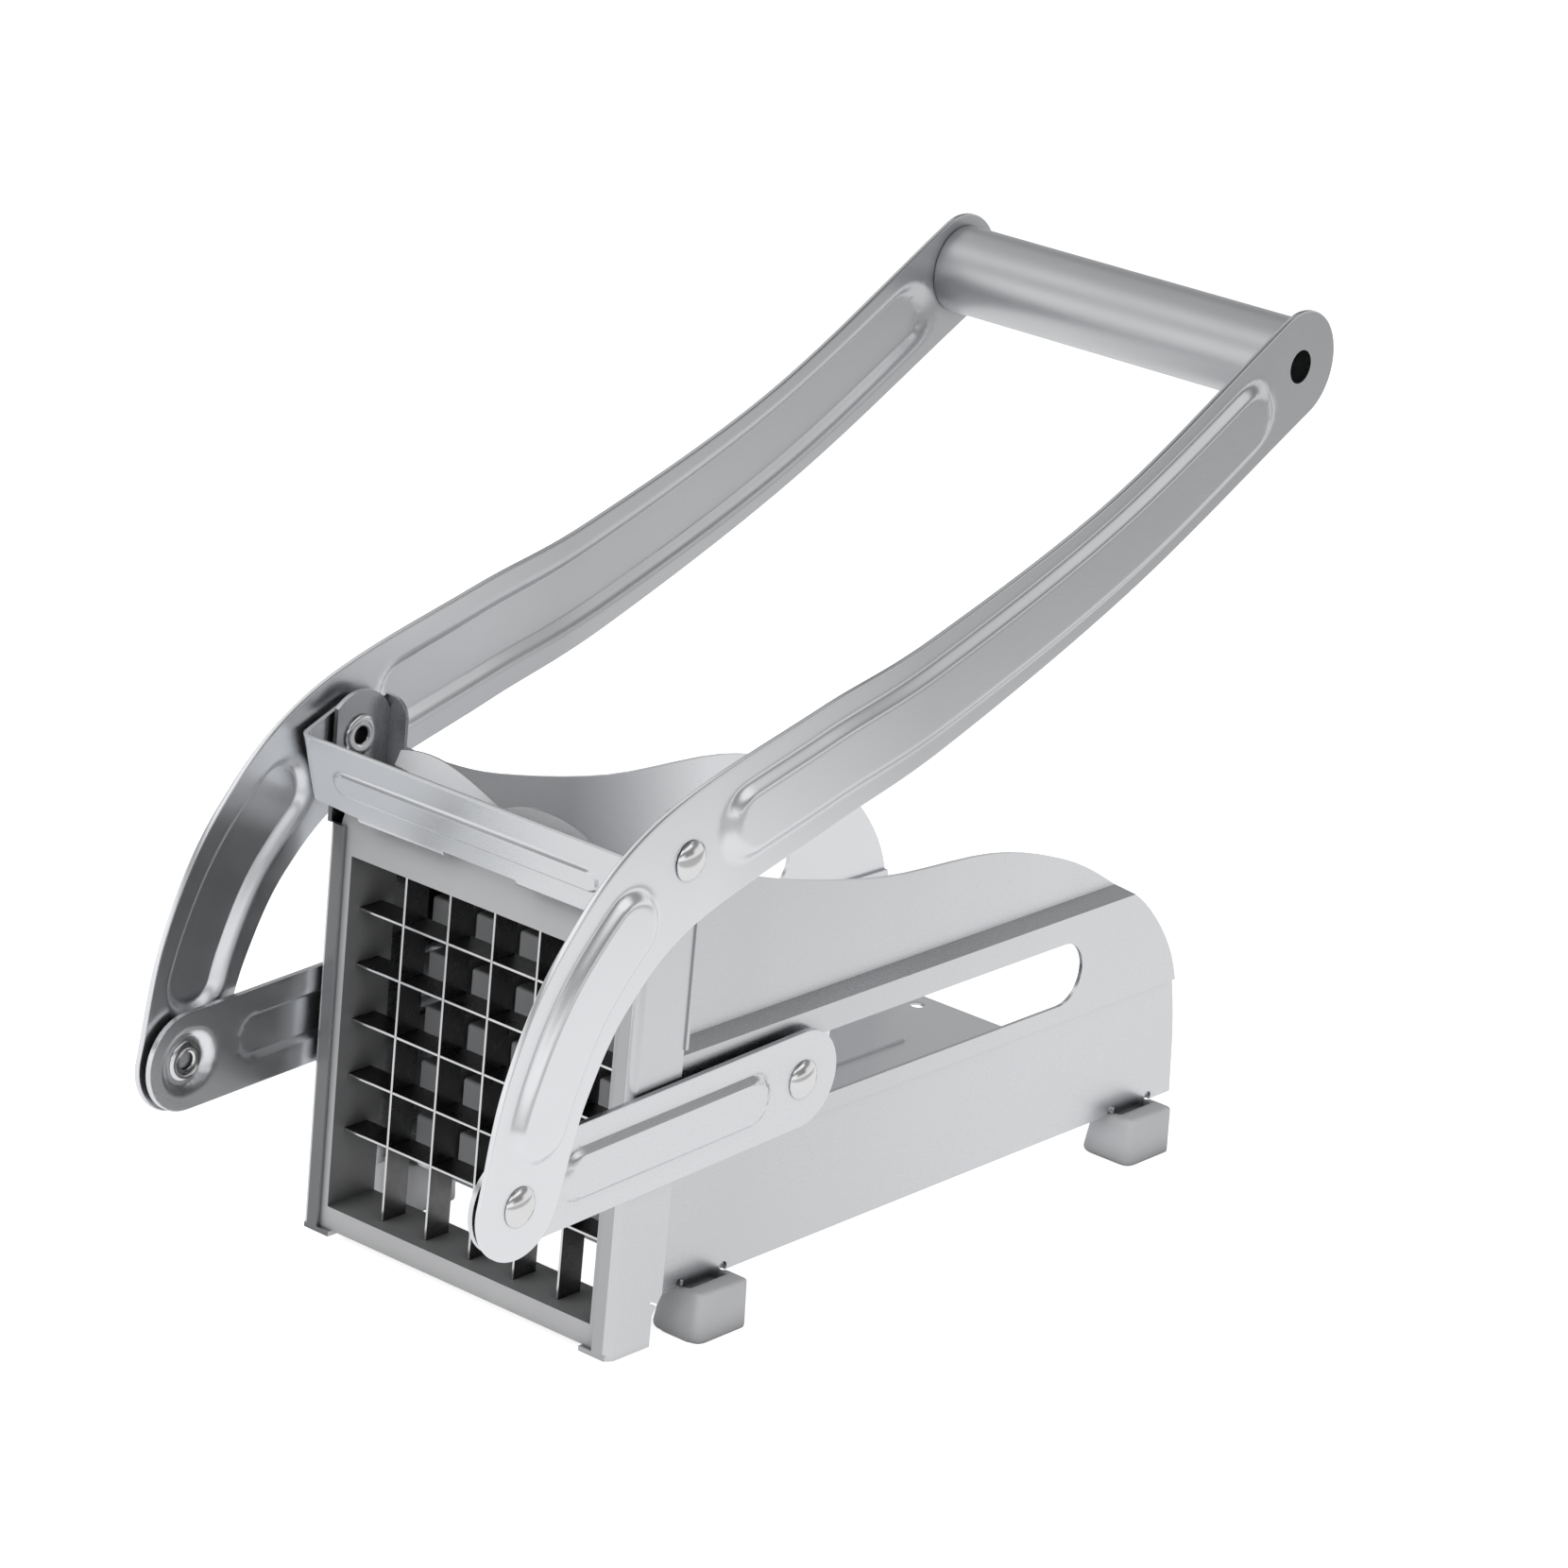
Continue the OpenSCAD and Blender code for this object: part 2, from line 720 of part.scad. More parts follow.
module foot(y) {
    tab_bottom = tray_height - tab_drop;
    difference() {
        foot_block(y);
        translate([0, y - overrun, tray_height])
            cube([skirt_out + foot_hug, foot_length + 2 * overrun, foot_rise + overrun]);
        translate([skirt_in - run_clear, tab_y(y) - run_clear, tab_bottom - run_clear])
            cube([panel_sheet + tab_reach, tab_width, panel_sheet] + 2 * run_clear * [1, 1, 1]);
        translate([skirt_in - run_clear, tab_y(y) - run_clear, tab_bottom])
            cube([panel_sheet + foot_pocket, tab_width + 2 * run_clear, tab_drop + foot_rise + overrun]);
    }
}

module front_right_foot() {
    color("gray") placed() foot(foot_front_y[0]);
}

module front_left_foot() {
    color("gray") placed() left() foot(foot_front_y[0]);
}

module rear_right_foot() {
    color("gray") placed() foot(foot_front_y[1]);
}

module rear_left_foot() {
    color("gray") placed() left() foot(foot_front_y[1]);
}

// Hinge rivets and washers
module hinge_rivet() {
    at(hinge) rivet(arm_out + face_clear, post_in - eyelet_roll - seat_clear);
}

module hinge_washer() {
    at(hinge) difference() {
        rod(washer_radius, latch_out + face_clear, arm_in - face_clear);
        rod(rivet_radius + seat_clear, latch_out - overrun, arm_in + overrun);
    }
}

module right_hinge_rivet() {
    color("white") placed() hinge_rivet();
}

module left_hinge_rivet() {
    color("white") placed() left() hinge_rivet();
}

module right_hinge_washer() {
    color("white") placed() hinge_washer();
}

module left_hinge_washer() {
    color("white") placed() left() hinge_washer();
}

// Latch bar: a beaded plate with two hemmed tabs, and an arm to the hinge on each side
module latch_plate() {
    polygon([
        [-latch_out, latch_top], [latch_out, latch_top], [latch_out, -latch_bottom + latch_wall],
        [latch_out - latch_corner_in, -latch_bottom + latch_wall],
        [latch_tab_outer, -latch_bottom - latch_wall],
        [-latch_tab_outer, -latch_bottom - latch_wall],
        [-latch_out + latch_corner_in, -latch_bottom + latch_wall], [-latch_out, -latch_bottom + latch_wall]
    ]);
}

module latch_bead(grow) {
    translate([-latch_bead_span + latch_bead_half, -latch_bead_drop])
        stadium(2 * (latch_bead_span - latch_bead_half), latch_bead_half - grow);
}

module latch_arm() {
    polygon([
        [-latch_reach, latch_top], [0, latch_boss], [0, -latch_boss],
        [-latch_reach, -latch_bottom + latch_wall]
    ]);
    circle(latch_boss);
}

module latch_tab() {
    drop = latch_bottom + latch_tab_drop;
    translate([latch_tab_inner, -latch_reach, -drop])
        cube([latch_tab_outer - latch_tab_inner, latch_sheet, drop]);
    translate([latch_tab_inner, -latch_reach, -drop])
        cube([latch_tab_outer - latch_tab_inner, latch_tab_depth, latch_sheet]);
}

module latch_bar() {
    color("gainsboro") placed() at(hinge) rotate([latch_tilt, 0, 0]) difference() {
        union() {
            translate([0, -latch_reach + latch_sheet, 0]) rotate([90, 0, 0])
                linear_extrude(latch_sheet) latch_plate();
            translate([0, -latch_reach + overrun / 2, 0]) rotate([90, 0, 0])
                linear_extrude(latch_bead_rise + overrun / 2) latch_bead(0);
            for (side = [0, 1]) mirror([side, 0, 0]) {
                upright(latch_in, latch_out) latch_arm();
                latch_tab();
            }
        }
        translate([0, -latch_reach + latch_sheet + overrun, 0]) rotate([90, 0, 0])
            linear_extrude(latch_bead_rise + overrun) latch_bead(latch_sheet);
        for (side = [0, 1]) mirror([side, 0, 0])
            rod(rivet_radius + run_clear, latch_in - overrun, latch_out + overrun);
    }
}

// Lever arm: a bent flat bar with two beads pressed outwards
module lever_arm() {
    difference() {
        union() {
            upright(arm_in, arm_out) strip(arm_line, arm_widths);
            for (shares = [upper_bead_shares, lower_bead_shares])
                upright(arm_in + bead_rise, arm_out + bead_rise) bead_outline(shares, bead_half);
        }
        for (shares = [upper_bead_shares, lower_bead_shares])
            upright(arm_in - overrun, arm_in + bead_rise) bead_outline(shares, bead_half - arm_sheet);
        at(hinge) rod(rivet_radius + run_clear, arm_in - overrun, arm_out + overrun);
        at(crank) rod(rivet_radius + seat_clear, arm_in - overrun, arm_out + overrun);
        at(grip) rod(hang_hole, arm_in - overrun, arm_out + overrun);
    }
}

module right_lever_arm() {
    color("lightgray") placed() lever_arm();
}

module left_lever_arm() {
    color("lightgray") placed() left() lever_arm();
}

module grip_tube() {
    color("silver") placed() at(grip) difference() {
        rod(grip_radius, -arm_in, arm_in);
        rod(grip_radius - grip_wall, -arm_in - overrun, arm_in + overrun);
    }
}

module crank_rivet() {
    at(crank) rivet(arm_out, link_in + link_boss - face_clear - eyelet_roll);
}

module right_crank_rivet() {
    color("white") placed() crank_rivet();
}

module left_crank_rivet() {
    color("white") placed() left() crank_rivet();
}

// Link, drawn along +Y from its front rivet and turned to the line of its two rivets
link_angle = asin(link_drop / link_length);

module link_frame() {
    at(crank) rotate([link_angle, 0, 0]) children();
}

module link() {
    link_frame() difference() {
        union() {
            upright(link_in, link_out) stadium(link_length, link_end);
            upright(link_in + link_bead_rise, link_out + link_bead_rise) translate([link_bead_front, 0])
                stadium(link_length - link_bead_front - link_bead_rear, link_bead_half);
            translate([link_out, 0, 0]) rotate([0, 90, 0])
                cylinder(r1 = boss_foot, r2 = boss_foot - link_sheet, h = link_boss - face_clear);
        }
        translate([link_in - overrun, 0, 0]) rotate([0, 90, 0])
            cylinder(r = boss_radius, h = link_boss + overrun);
        upright(link_in - overrun, link_in + link_bead_rise) translate([link_bead_front, 0])
            stadium(link_length - link_bead_front - link_bead_rear, link_bead_half - link_sheet);
        rod(rivet_radius + run_clear, link_in, arm_in);
        translate([0, link_length, 0]) rod(rivet_radius + seat_clear, link_in - overrun, arm_in);
    }
}

module right_link() {
    color("gainsboro") placed() link();
}

module left_link() {
    color("gainsboro") placed() left() link();
}

// The rear rivet ends flush with the link, short of the axle
module link_rivet() {
    dome = [for (k = [0 : dome_steps])
        [rivet_head * cos(90 * k / dome_steps), rivet_dome * sin(90 * k / dome_steps)]];
    at(drive) translate([link_out, 0, 0]) rotate([0, 90, 0])
        rotate_extrude()
            polygon(concat([[0, -link_sheet], [rivet_radius, -link_sheet], [rivet_radius, 0]], dome));
}

module right_link_rivet() {
    color("white") placed() link_rivet();
}

module left_link_rivet() {
    color("white") placed() left() link_rivet();
}

// Pusher block: one square stud for each cell of the grid
block_half = grid_half - block_clear;

module stud(row, column) {
    x = blade_at(column) + cell_pitch / 2;
    z = grid_z + blade_at(row) + cell_pitch / 2;
    translate([x - stud_size / 2, block_front + stud_chamfer, z - stud_size / 2])
        cube([stud_size, stud_length - stud_chamfer + stud_base / 2, stud_size]);
    translate([x, block_front + stud_chamfer, z]) rotate([90, 0, 0])
        linear_extrude(stud_chamfer, scale = 1 - 2 * stud_chamfer / stud_size) square(stud_size, center = true);
}

module pusher_block() {
    color("dimgray") placed() difference() {
        union() {
            translate([-block_half, block_front + stud_length, block_bottom])
                cube([2 * block_half, stud_base, grid_z + block_half - block_bottom]);
            for (row = [0 : blade_count], column = [0 : blade_count]) stud(row, column);
        }
        for (x = [-1, 1], z = [-1, 1])
            translate([x * screw_spread, block_back + overrun, grid_z + z * screw_spread]) rotate([90, 0, 0])
                cylinder(r = screw_radius + seat_clear, h = screw_bite + seat_clear + overrun);
    }
}

// Carriage: a plate behind the studs with two cheeks that carry the axle
module cheek_outline() {
    corner = cheek_half / 2;
    rear = drive[0] + cheek_tail - corner;
    translate([block_back, drive[1] - cheek_half]) square([rear - block_back, 2 * cheek_half]);
    translate([rear - overrun, drive[1] - corner]) square([corner + overrun, cheek_half]);
    for (end = [-1, 1]) translate([rear, drive[1] + end * corner]) circle(corner);
}

module pusher_carriage() {
    plate_half = block_half - carriage_inset;
    color("silver") placed() difference() {
        union() {
            translate([-cheek_out, block_back, grid_z - plate_half])
                cube([2 * cheek_out, carriage_sheet, 2 * plate_half]);
            for (side = [0, 1]) mirror([side, 0, 0])
                upright(cheek_out - carriage_sheet, cheek_out) cheek_outline();
        }
        at(drive) rod(axle_radius + seat_clear, -cheek_out - overrun, cheek_out + overrun);
        for (x = [-1, 1], z = [-1, 1])
            translate([x * screw_spread, block_back + carriage_sheet + overrun, grid_z + z * screw_spread])
                rotate([90, 0, 0]) cylinder(r = screw_radius + seat_clear, h = carriage_sheet + 2 * overrun);
    }
}

module carriage_axle() {
    color("white") placed() at(drive) rod(axle_radius, -axle_out, axle_out);
}

// Guide bush: fills the slot's height, with a flange inside the panel
module guide_bush() {
    flange_in = skirt_in - slide_clear - bush_flange_thick;
    at(drive) difference() {
        union() {
            rod(bush_radius, flange_in, bush_out);
            rod(bush_flange, flange_in, flange_in + bush_flange_thick);
        }
        rod(axle_radius + seat_clear, flange_in - overrun, bush_out + overrun);
    }
}

module right_guide_bush() {
    color("dimgray") placed() guide_bush();
}

module left_guide_bush() {
    color("dimgray") placed() left() guide_bush();
}

module pusher_screws() {
    color("white") placed() for (x = [-1, 1], z = [-1, 1])
        translate([x * screw_spread, block_back + carriage_sheet, grid_z + z * screw_spread]) {
            rotate([90, 0, 0]) cylinder(r = screw_radius, h = carriage_sheet + screw_bite);
            rotate([-90, 0, 0])
                cylinder(r1 = screw_head, r2 = screw_head - screw_radius / 2, h = screw_head_height);
        }
}

base_tray();
left_side_panel();
right_side_panel();
left_front_post();
right_front_post();
throat_web();
blade_holder();
upright_blade(1);  // upright_blade_1
upright_blade(2);  // upright_blade_2
upright_blade(3);  // upright_blade_3
upright_blade(4);  // upright_blade_4
upright_blade(5);  // upright_blade_5
level_blade(1);  // level_blade_1
level_blade(2);  // level_blade_2
level_blade(3);  // level_blade_3
level_blade(4);  // level_blade_4
level_blade(5);  // level_blade_5
front_left_foot();
front_right_foot();
rear_left_foot();
rear_right_foot();
left_hinge_rivet();
right_hinge_rivet();
left_hinge_washer();
right_hinge_washer();
latch_bar();
left_lever_arm();
right_lever_arm();
grip_tube();
left_crank_rivet();
right_crank_rivet();
left_link();
right_link();
left_link_rivet();
right_link_rivet();
pusher_block();
pusher_carriage();
carriage_axle();
left_guide_bush();
right_guide_bush();
pusher_screws();
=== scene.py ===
"""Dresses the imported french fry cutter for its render: formed sheet steel, plastic and rubber."""

import json
import logging
import math
from contextlib import contextmanager
from dataclasses import dataclass, field
from enum import Enum
from typing import Iterator, Sequence

import bmesh
import bpy
import numpy as np
from mathutils import Matrix, Vector

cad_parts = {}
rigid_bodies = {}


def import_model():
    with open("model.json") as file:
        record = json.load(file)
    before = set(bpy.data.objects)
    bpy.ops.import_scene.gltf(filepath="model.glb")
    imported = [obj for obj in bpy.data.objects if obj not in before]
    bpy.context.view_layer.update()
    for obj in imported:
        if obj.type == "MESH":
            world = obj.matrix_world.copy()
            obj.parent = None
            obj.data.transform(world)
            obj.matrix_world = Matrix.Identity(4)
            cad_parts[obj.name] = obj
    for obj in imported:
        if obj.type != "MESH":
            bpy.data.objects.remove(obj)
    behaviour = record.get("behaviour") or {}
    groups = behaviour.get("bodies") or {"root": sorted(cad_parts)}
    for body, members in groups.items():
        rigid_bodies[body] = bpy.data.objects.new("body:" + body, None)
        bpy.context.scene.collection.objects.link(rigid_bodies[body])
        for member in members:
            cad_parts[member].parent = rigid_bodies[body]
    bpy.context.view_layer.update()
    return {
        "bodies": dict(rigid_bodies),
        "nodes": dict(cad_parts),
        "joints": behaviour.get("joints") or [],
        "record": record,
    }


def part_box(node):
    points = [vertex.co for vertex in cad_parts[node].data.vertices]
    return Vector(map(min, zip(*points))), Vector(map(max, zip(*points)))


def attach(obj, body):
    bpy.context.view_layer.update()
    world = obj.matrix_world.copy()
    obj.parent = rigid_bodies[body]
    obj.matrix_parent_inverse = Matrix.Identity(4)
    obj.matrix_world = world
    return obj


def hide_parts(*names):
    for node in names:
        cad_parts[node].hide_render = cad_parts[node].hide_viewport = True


LOG = logging.getLogger("fry_cutter")
MM = 0.001
# Points nearer than this, in metres, are one; faces within this angle, in degrees, are one face.
NEAR = 1e-6
FLAT_ANGLE = 0.5
FORWARD = (0, -1, 0)
UP = (0, 0, 1)
Point = tuple[float, float]
Triple = tuple[float, float, float]
Socket = bpy.types.NodeSocket
Thing = bpy.types.Object
Mesh = bpy.types.Mesh
Finish = bpy.types.Material


class Side(Enum):
    """The two mirrored sides of the cutter."""

    LEFT = -1
    RIGHT = 1

    @property
    def word(self) -> str:
        """The side's name as the nodes spell it."""
        return self.name.lower()


class Body(Enum):
    """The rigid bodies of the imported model."""

    FRAME = "frame"
    LATCH = "latch"
    LEVER = "lever"
    LINKS = "links"
    PUSHER = "pusher"


class Slot(Enum):
    """The record's material slots."""

    SATIN = "satin_steel"
    POLISHED = "polished_steel"
    BLADE = "blade_steel"
    HOLDER = "holder_plastic"
    PUSHER = "pusher_plastic"
    BUSH = "bush_plastic"
    FOOT = "foot_rubber"


def filled(thing: object, **values: object) -> object:
    """A thing with its properties set, by name."""
    for name, value in values.items():
        setattr(thing, name, value)
    return thing


# Materials


class Wiring:
    """Adds nodes to a tree and links them."""

    # Painted shade where another surface is near: the samples of its occlusion and the range of its ramp.
    PAINTED_SHADE_SAMPLES = 6
    PAINTED_SHADE_RANGE = (0.3, 0.9)

    def __init__(self, tree: bpy.types.NodeTree) -> None:
        """Empties a tree, to be written anew."""
        self.tree = tree
        self.tree.nodes.clear()

    def add(self, kind: str, given: dict | None = None, **values: object) -> bpy.types.Node:
        """Adds a node, sets its properties and feeds its inputs.

        Args:
            kind: the node's type.
            given: a plain value or another node's socket for each input, by name or number.
            values: the node's properties, by name.

        Returns:
            The new node.
        """
        node = filled(self.tree.nodes.new(kind), **values)
        for name, value in (given or {}).items():
            if isinstance(value, Socket):
                self.tree.links.new(value, node.inputs[name])
            else:
                node.inputs[name].default_value = value
        return node

    def sum(self, kind: str, first: Socket, second: object) -> Socket:
        """A sum of the given kind on a socket's value and a second one, plain or a socket's."""
        return self.add("ShaderNodeMath", {0: first, 1: second}, operation=kind).outputs[0]

    def mix(self, share: object, first: object, second: object, kind: str = "RGBA", way: str = "MIX") -> Socket:
        """A mix of two colours or of two numbers, each plain or as a socket.

        Args:
            share: the share of the second one.
            first: the first one.
            second: the second one.
            kind: RGBA for colours, FLOAT for numbers.
            way: how two colours are mixed.

        Returns:
            The result's socket.
        """
        given = {"Factor": share, "A": first, "B": second}
        for name, value in given.items():
            if isinstance(value, tuple):
                given[name] = (*value, 1)
        return self.add("ShaderNodeMix", given, data_type=kind, blend_type=way).outputs["Result"]

    def bands(self, value: Socket, stops: Sequence[Point]) -> Socket:
        """A grey that follows a value through stops.

        Args:
            value: the value, 0 to 1.
            stops: places and greys, in order.

        Returns:
            The colour's socket.
        """
        node = self.add("ShaderNodeValToRGB", {"Fac": value})
        line = node.color_ramp.elements
        while len(line) < len(stops):
            line.new(0.5)
        for element, (place, grey) in zip(line, stops):
            element.position = place
            element.color = (grey, grey, grey, 1)
        return node.outputs["Color"]

    def place(self, scale: Sequence[float] = (1, 1, 1), turn: Sequence[float] = (0, 0, 0)) -> Socket:
        """Object coordinates, scaled along each axis and turned about it."""
        where = self.add("ShaderNodeTexCoord").outputs["Object"]
        return self.add("ShaderNodeMapping", {"Vector": where, "Rotation": turn, "Scale": scale}).outputs["Vector"]

    def axes(self, vector: Socket) -> Sequence[Socket]:
        """The X, Y and Z shares of a vector."""
        return self.add("ShaderNodeSeparateXYZ", {0: vector}).outputs

    def noise(self, vector: Socket, scale: float, detail: float) -> Socket:
        """A noise of the given scale and number of octaves, read at a vector."""
        given = {"Vector": vector, "Scale": scale, "Detail": detail}
        return self.add("ShaderNodeTexNoise", given).outputs["Fac"]

    def ramp(self, value: Socket, low: float, high: float, start: float = 0.3, end: float = 0.7) -> Socket:
        """A value mapped so that start gives low and end gives high."""
        given = {"Value": value, "From Min": start, "From Max": end, "To Min": low, "To Max": high}
        return self.add("ShaderNodeMapRange", given).outputs["Result"]

    def painted_shade_share(self, reach: float, dark: float) -> Socket:
        """Painted shade, as ambient occlusion: a share of 1 that falls to dark where another surface is within reach,
        in metres.
        """
        near = self.add("ShaderNodeAmbientOcclusion", {"Distance": reach}, samples=self.PAINTED_SHADE_SAMPLES)
        return self.ramp(near.outputs["AO"], dark, 1, *self.PAINTED_SHADE_RANGE)

    def scaled(self, colour: Socket, share: Socket) -> Socket:
        """A colour times a share."""
        return self.add("ShaderNodeVectorMath", {0: colour, "Scale": share}, operation="SCALE").outputs[0]

    def bump(self, height: Socket, distance: float, strength: float) -> Socket:
        """A normal bumped by a height, to a depth in metres and with a strength."""
        given = {"Height": height, "Distance": distance, "Strength": strength}
        return self.add("ShaderNodeBump", given).outputs["Normal"]


class NodeWriter(Wiring):
    """Writes a material."""

    def __init__(self, name: str) -> None:
        """Starts a material with an empty tree.

        Args:
            name: the material's name.
        """
        self.material = bpy.data.materials.new(name)
        self.material.use_nodes = True
        super().__init__(self.material.node_tree)

    def cover(self, shader: Socket) -> Finish:
        """Puts a shader on the surface, and gives the material."""
        self.add("ShaderNodeOutputMaterial", {"Surface": shader})
        return self.material

    def paint(self, **given: object) -> Finish:
        """Covers the surface with one shader, whose inputs are named with underscores for spaces."""
        values = {name.replace("_", " "): value for name, value in given.items()}
        return self.cover(self.add("ShaderNodeBsdfPrincipled", values).outputs["BSDF"])


@dataclass(frozen=True)
class BrushedSteel:
    """Stainless sheet, ground in one direction, with painted light that changes along Y and painted shade where
    another surface is near.
    """

    name: str
    tone: float
    roughness: float
    grain: Triple
    turn: Triple = (0, 0, 0)
    # Painted light along Y: where it starts and ends, in metres, and the share of the tone at its end.
    painted_light_fade: Triple = (0, 1, 1)
    metal: float = 1
    tint: Triple = (0.985, 1.0, 1.025)
    fineness: float = 150
    detail: int = 3
    cloud: Triple = (30, 30, 30)
    line_tones: Point = (0.985, 1.01)
    line_roughness: Point = (-0.015, 0.02)
    cloud_roughness: Point = (-0.02, 0.03)
    # Painted shade: the darkest share of the tone where another surface is near, and how near, in metres.
    painted_shade: float = 0.7
    painted_shade_reach: float = 0.003
    depth: float = 0.000003
    strength: float = 0.3

    def build(self) -> Finish:
        """Returns the material."""
        write = NodeWriter(self.name)
        lines = write.noise(write.place(self.grain, self.turn), self.fineness, self.detail)
        cloud = write.noise(write.place(self.cloud), 1, self.detail)
        dark, light = (tuple(self.tone * c * share for c in self.tint) for share in self.line_tones)
        shade = write.mix(write.ramp(lines, 0, 1), dark, light)
        # Painted light and shade: the tone changes along Y and darkens where another surface is near.
        start, end, share = self.painted_light_fade
        painted_light_fall = write.ramp(write.axes(write.place())[1], 1, share, start, end)
        painted_light_share = write.sum("MULTIPLY", painted_light_fall, write.painted_shade_share(self.painted_shade_reach, self.painted_shade))
        clouded = write.ramp(cloud, *(self.roughness + part for part in self.cloud_roughness))
        return write.paint(
            Metallic=self.metal,
            Base_Color=write.scaled(shade, painted_light_share),
            Roughness=write.sum("ADD", write.ramp(lines, *self.line_roughness), clouded),
            Normal=write.bump(lines, self.depth, self.strength),
        )


@dataclass(frozen=True)
class PolishedSteel:
    """Bright steel of rivets, blades and the axle."""

    name: str
    tone: float
    roughness: float
    blue: float = 1.01
    fineness: float = 400
    detail: int = 3
    spread: Point = (0.8, 1.3)
    depth: float = 0.000002
    strength: float = 0.2

    def build(self) -> Finish:
        """Returns the material."""
        write = NodeWriter(self.name)
        cloud = write.noise(write.place(), self.fineness, self.detail)
        return write.paint(
            Metallic=1,
            Base_Color=(self.tone, self.tone, self.tone * self.blue, 1),
            Roughness=write.ramp(cloud, *(self.roughness * share for share in self.spread)),
            Normal=write.bump(cloud, self.depth, self.strength),
        )


@dataclass(frozen=True)
class Moulded:
    """Moulded plastic or rubber with a fine grain, and painted shade where another surface is near."""

    name: str
    colour: Triple
    roughness: float
    depth: float = 0.00002
    fineness: float = 2500
    detail: int = 2
    cloud: float = 60
    cloud_detail: int = 3
    contrast: float = 0.04
    spread: Point = (-0.05, 0.06)
    strength: float = 0.6
    # Painted shade: the darkest share of the tone where another surface is near, and how near, in metres.
    painted_shade: float = 0.25
    painted_shade_reach: float = 0.006

    def build(self) -> Finish:
        """Returns the material."""
        write = NodeWriter(self.name)
        where = write.place()
        grain = write.noise(where, self.fineness, self.detail)
        cloud = write.ramp(write.noise(where, self.cloud, self.cloud_detail), 0, 1)
        dark, light = (tuple(c * (1 + part) for c in self.colour) for part in (-self.contrast, self.contrast))
        return write.paint(
            Base_Color=write.scaled(write.mix(cloud, dark, light), write.painted_shade_share(self.painted_shade_reach, self.painted_shade)),
            Roughness=write.ramp(grain, *(self.roughness + part for part in self.spread)),
            Normal=write.bump(grain, self.depth, self.strength),
        )


class Finishes:
    """Every finish of the cutter, built once, with copies in other tones that paint light and shade."""

    def __init__(self) -> None:
        """Builds the materials."""
        along, upright, across = (40, 2, 40), (40, 40, 2), (2, 40, 40)
        bent, turn = (40, 2.5, 30), (-0.42, 0, 0)
        # The ground sheet has painted light that grows towards the back.
        self.sheet = BrushedSteel("steel_ground_along", 0.62, 0.27, along, painted_light_fade=(-0.04, 0.05, 1.13)).build()
        self.link = BrushedSteel("steel_link", 0.74, 0.27, along).build()
        self.upright = BrushedSteel("steel_ground_upright", 0.66, 0.27, upright).build()
        # Darker copies of the upright steel for the posts' front faces: painted shade, deepest on the left.
        self.flange_shades = {
            Side.LEFT: BrushedSteel("steel_left_flange_painted_shade", 0.2, 0.3, upright).build(),
            Side.RIGHT: BrushedSteel("steel_right_flange_painted_shade", 0.45, 0.3, upright).build(),
        }
        self.across = BrushedSteel("steel_ground_across", 0.72, 0.25, across).build()
        self.web = BrushedSteel("steel_web", 0.8, 0.45, across, metal=0.2).build()
        # A darker copy of the web's steel for its upward faces: painted shade.
        self.lip_shade = BrushedSteel("steel_lip_painted_shade", 0.6, 0.4, across).build()
        # The lever has painted shade that grows towards the back.
        self.lever = BrushedSteel("steel_lever", 0.8, 0.24, bent, turn, (-0.065, -0.005, 0.73)).build()
        self.tube = BrushedSteel("steel_tube", 0.64, 0.42, across).build()
        # A lighter copy of the ground steel: painted light on the tray's upward faces and the links' inner faces, and
        # the carriage's tone.
        self.light_steel = BrushedSteel("steel_light_copy", 0.86, 0.3, along).build()
        # The arms' inner faces: painted shade, darker towards the back.
        self.arm_inner_shade = BrushedSteel("steel_arm_inner_shade", 0.8, 0.3, along, painted_light_fade=(-0.065, -0.01, 0.7)).build()
        # The posts' inner faces: painted shade, a darker copy of the upright steel.
        self.ear = BrushedSteel("steel_post_inner_shade", 0.52, 0.25, upright).build()
        # The panels' inner faces: painted shade, darkest at the front and lighter towards the back.
        self.inner = BrushedSteel("steel_inner_painted_shade", 0.36, 0.25, along, painted_light_fade=(-0.012, 0.03, 2.1)).build()
        self.polished = PolishedSteel("steel_polished", 0.75, 0.12).build()
        self.edge = PolishedSteel("steel_edge", 0.7, 0.2).build()
        # A dark copy of the polished steel for the blades: painted shade, with the lighter edge steel on their front
        # faces.
        self.blade = PolishedSteel("steel_blade_painted_shade", 0.14, 0.3).build()
        # A near black copy of the steel for the eyelets' bores: painted shade.
        self.bore_shade = PolishedSteel("steel_bore_painted_shade", 0.05, 0.5).build()
        self.holder = Moulded("holder_plastic", (0.47, 0.473, 0.48), 0.42).build()
        # A darker copy of the holder plastic for all but its front faces: painted shade.
        self.holder_shade = Moulded("holder_painted_shade", (0.2, 0.202, 0.206), 0.5).build()
        self.pusher = Moulded("pusher_plastic", (0.39, 0.395, 0.405), 0.5).build()
        self.foot = Moulded("foot_rubber", (0.57, 0.575, 0.59), 0.55, 0.00004, 1800).build()


# Curves and sheets


def smooth(points: Sequence[Point], steps: int) -> np.ndarray:
    """A smooth curve through points.

    Args:
        points: the points, in order.
        steps: steps between neighbours.

    Returns:
        The curve's points, one row each.
    """
    p = np.array(points, float)
    q = np.vstack([2 * p[0] - p[1], p, 2 * p[-1] - p[-2]])
    rows = []
    for i in range(1, len(q) - 2):
        a, b, c, d = q[i - 1: i + 3]
        for k in range(steps):
            t = k / steps
            square, cube = 2 * a - 5 * b + 4 * c - d, 3 * b - a - 3 * c + d
            rows.append((2 * b + (c - a) * t + square * t**2 + cube * t**3) / 2)
    return np.vstack(rows + [q[-2]])


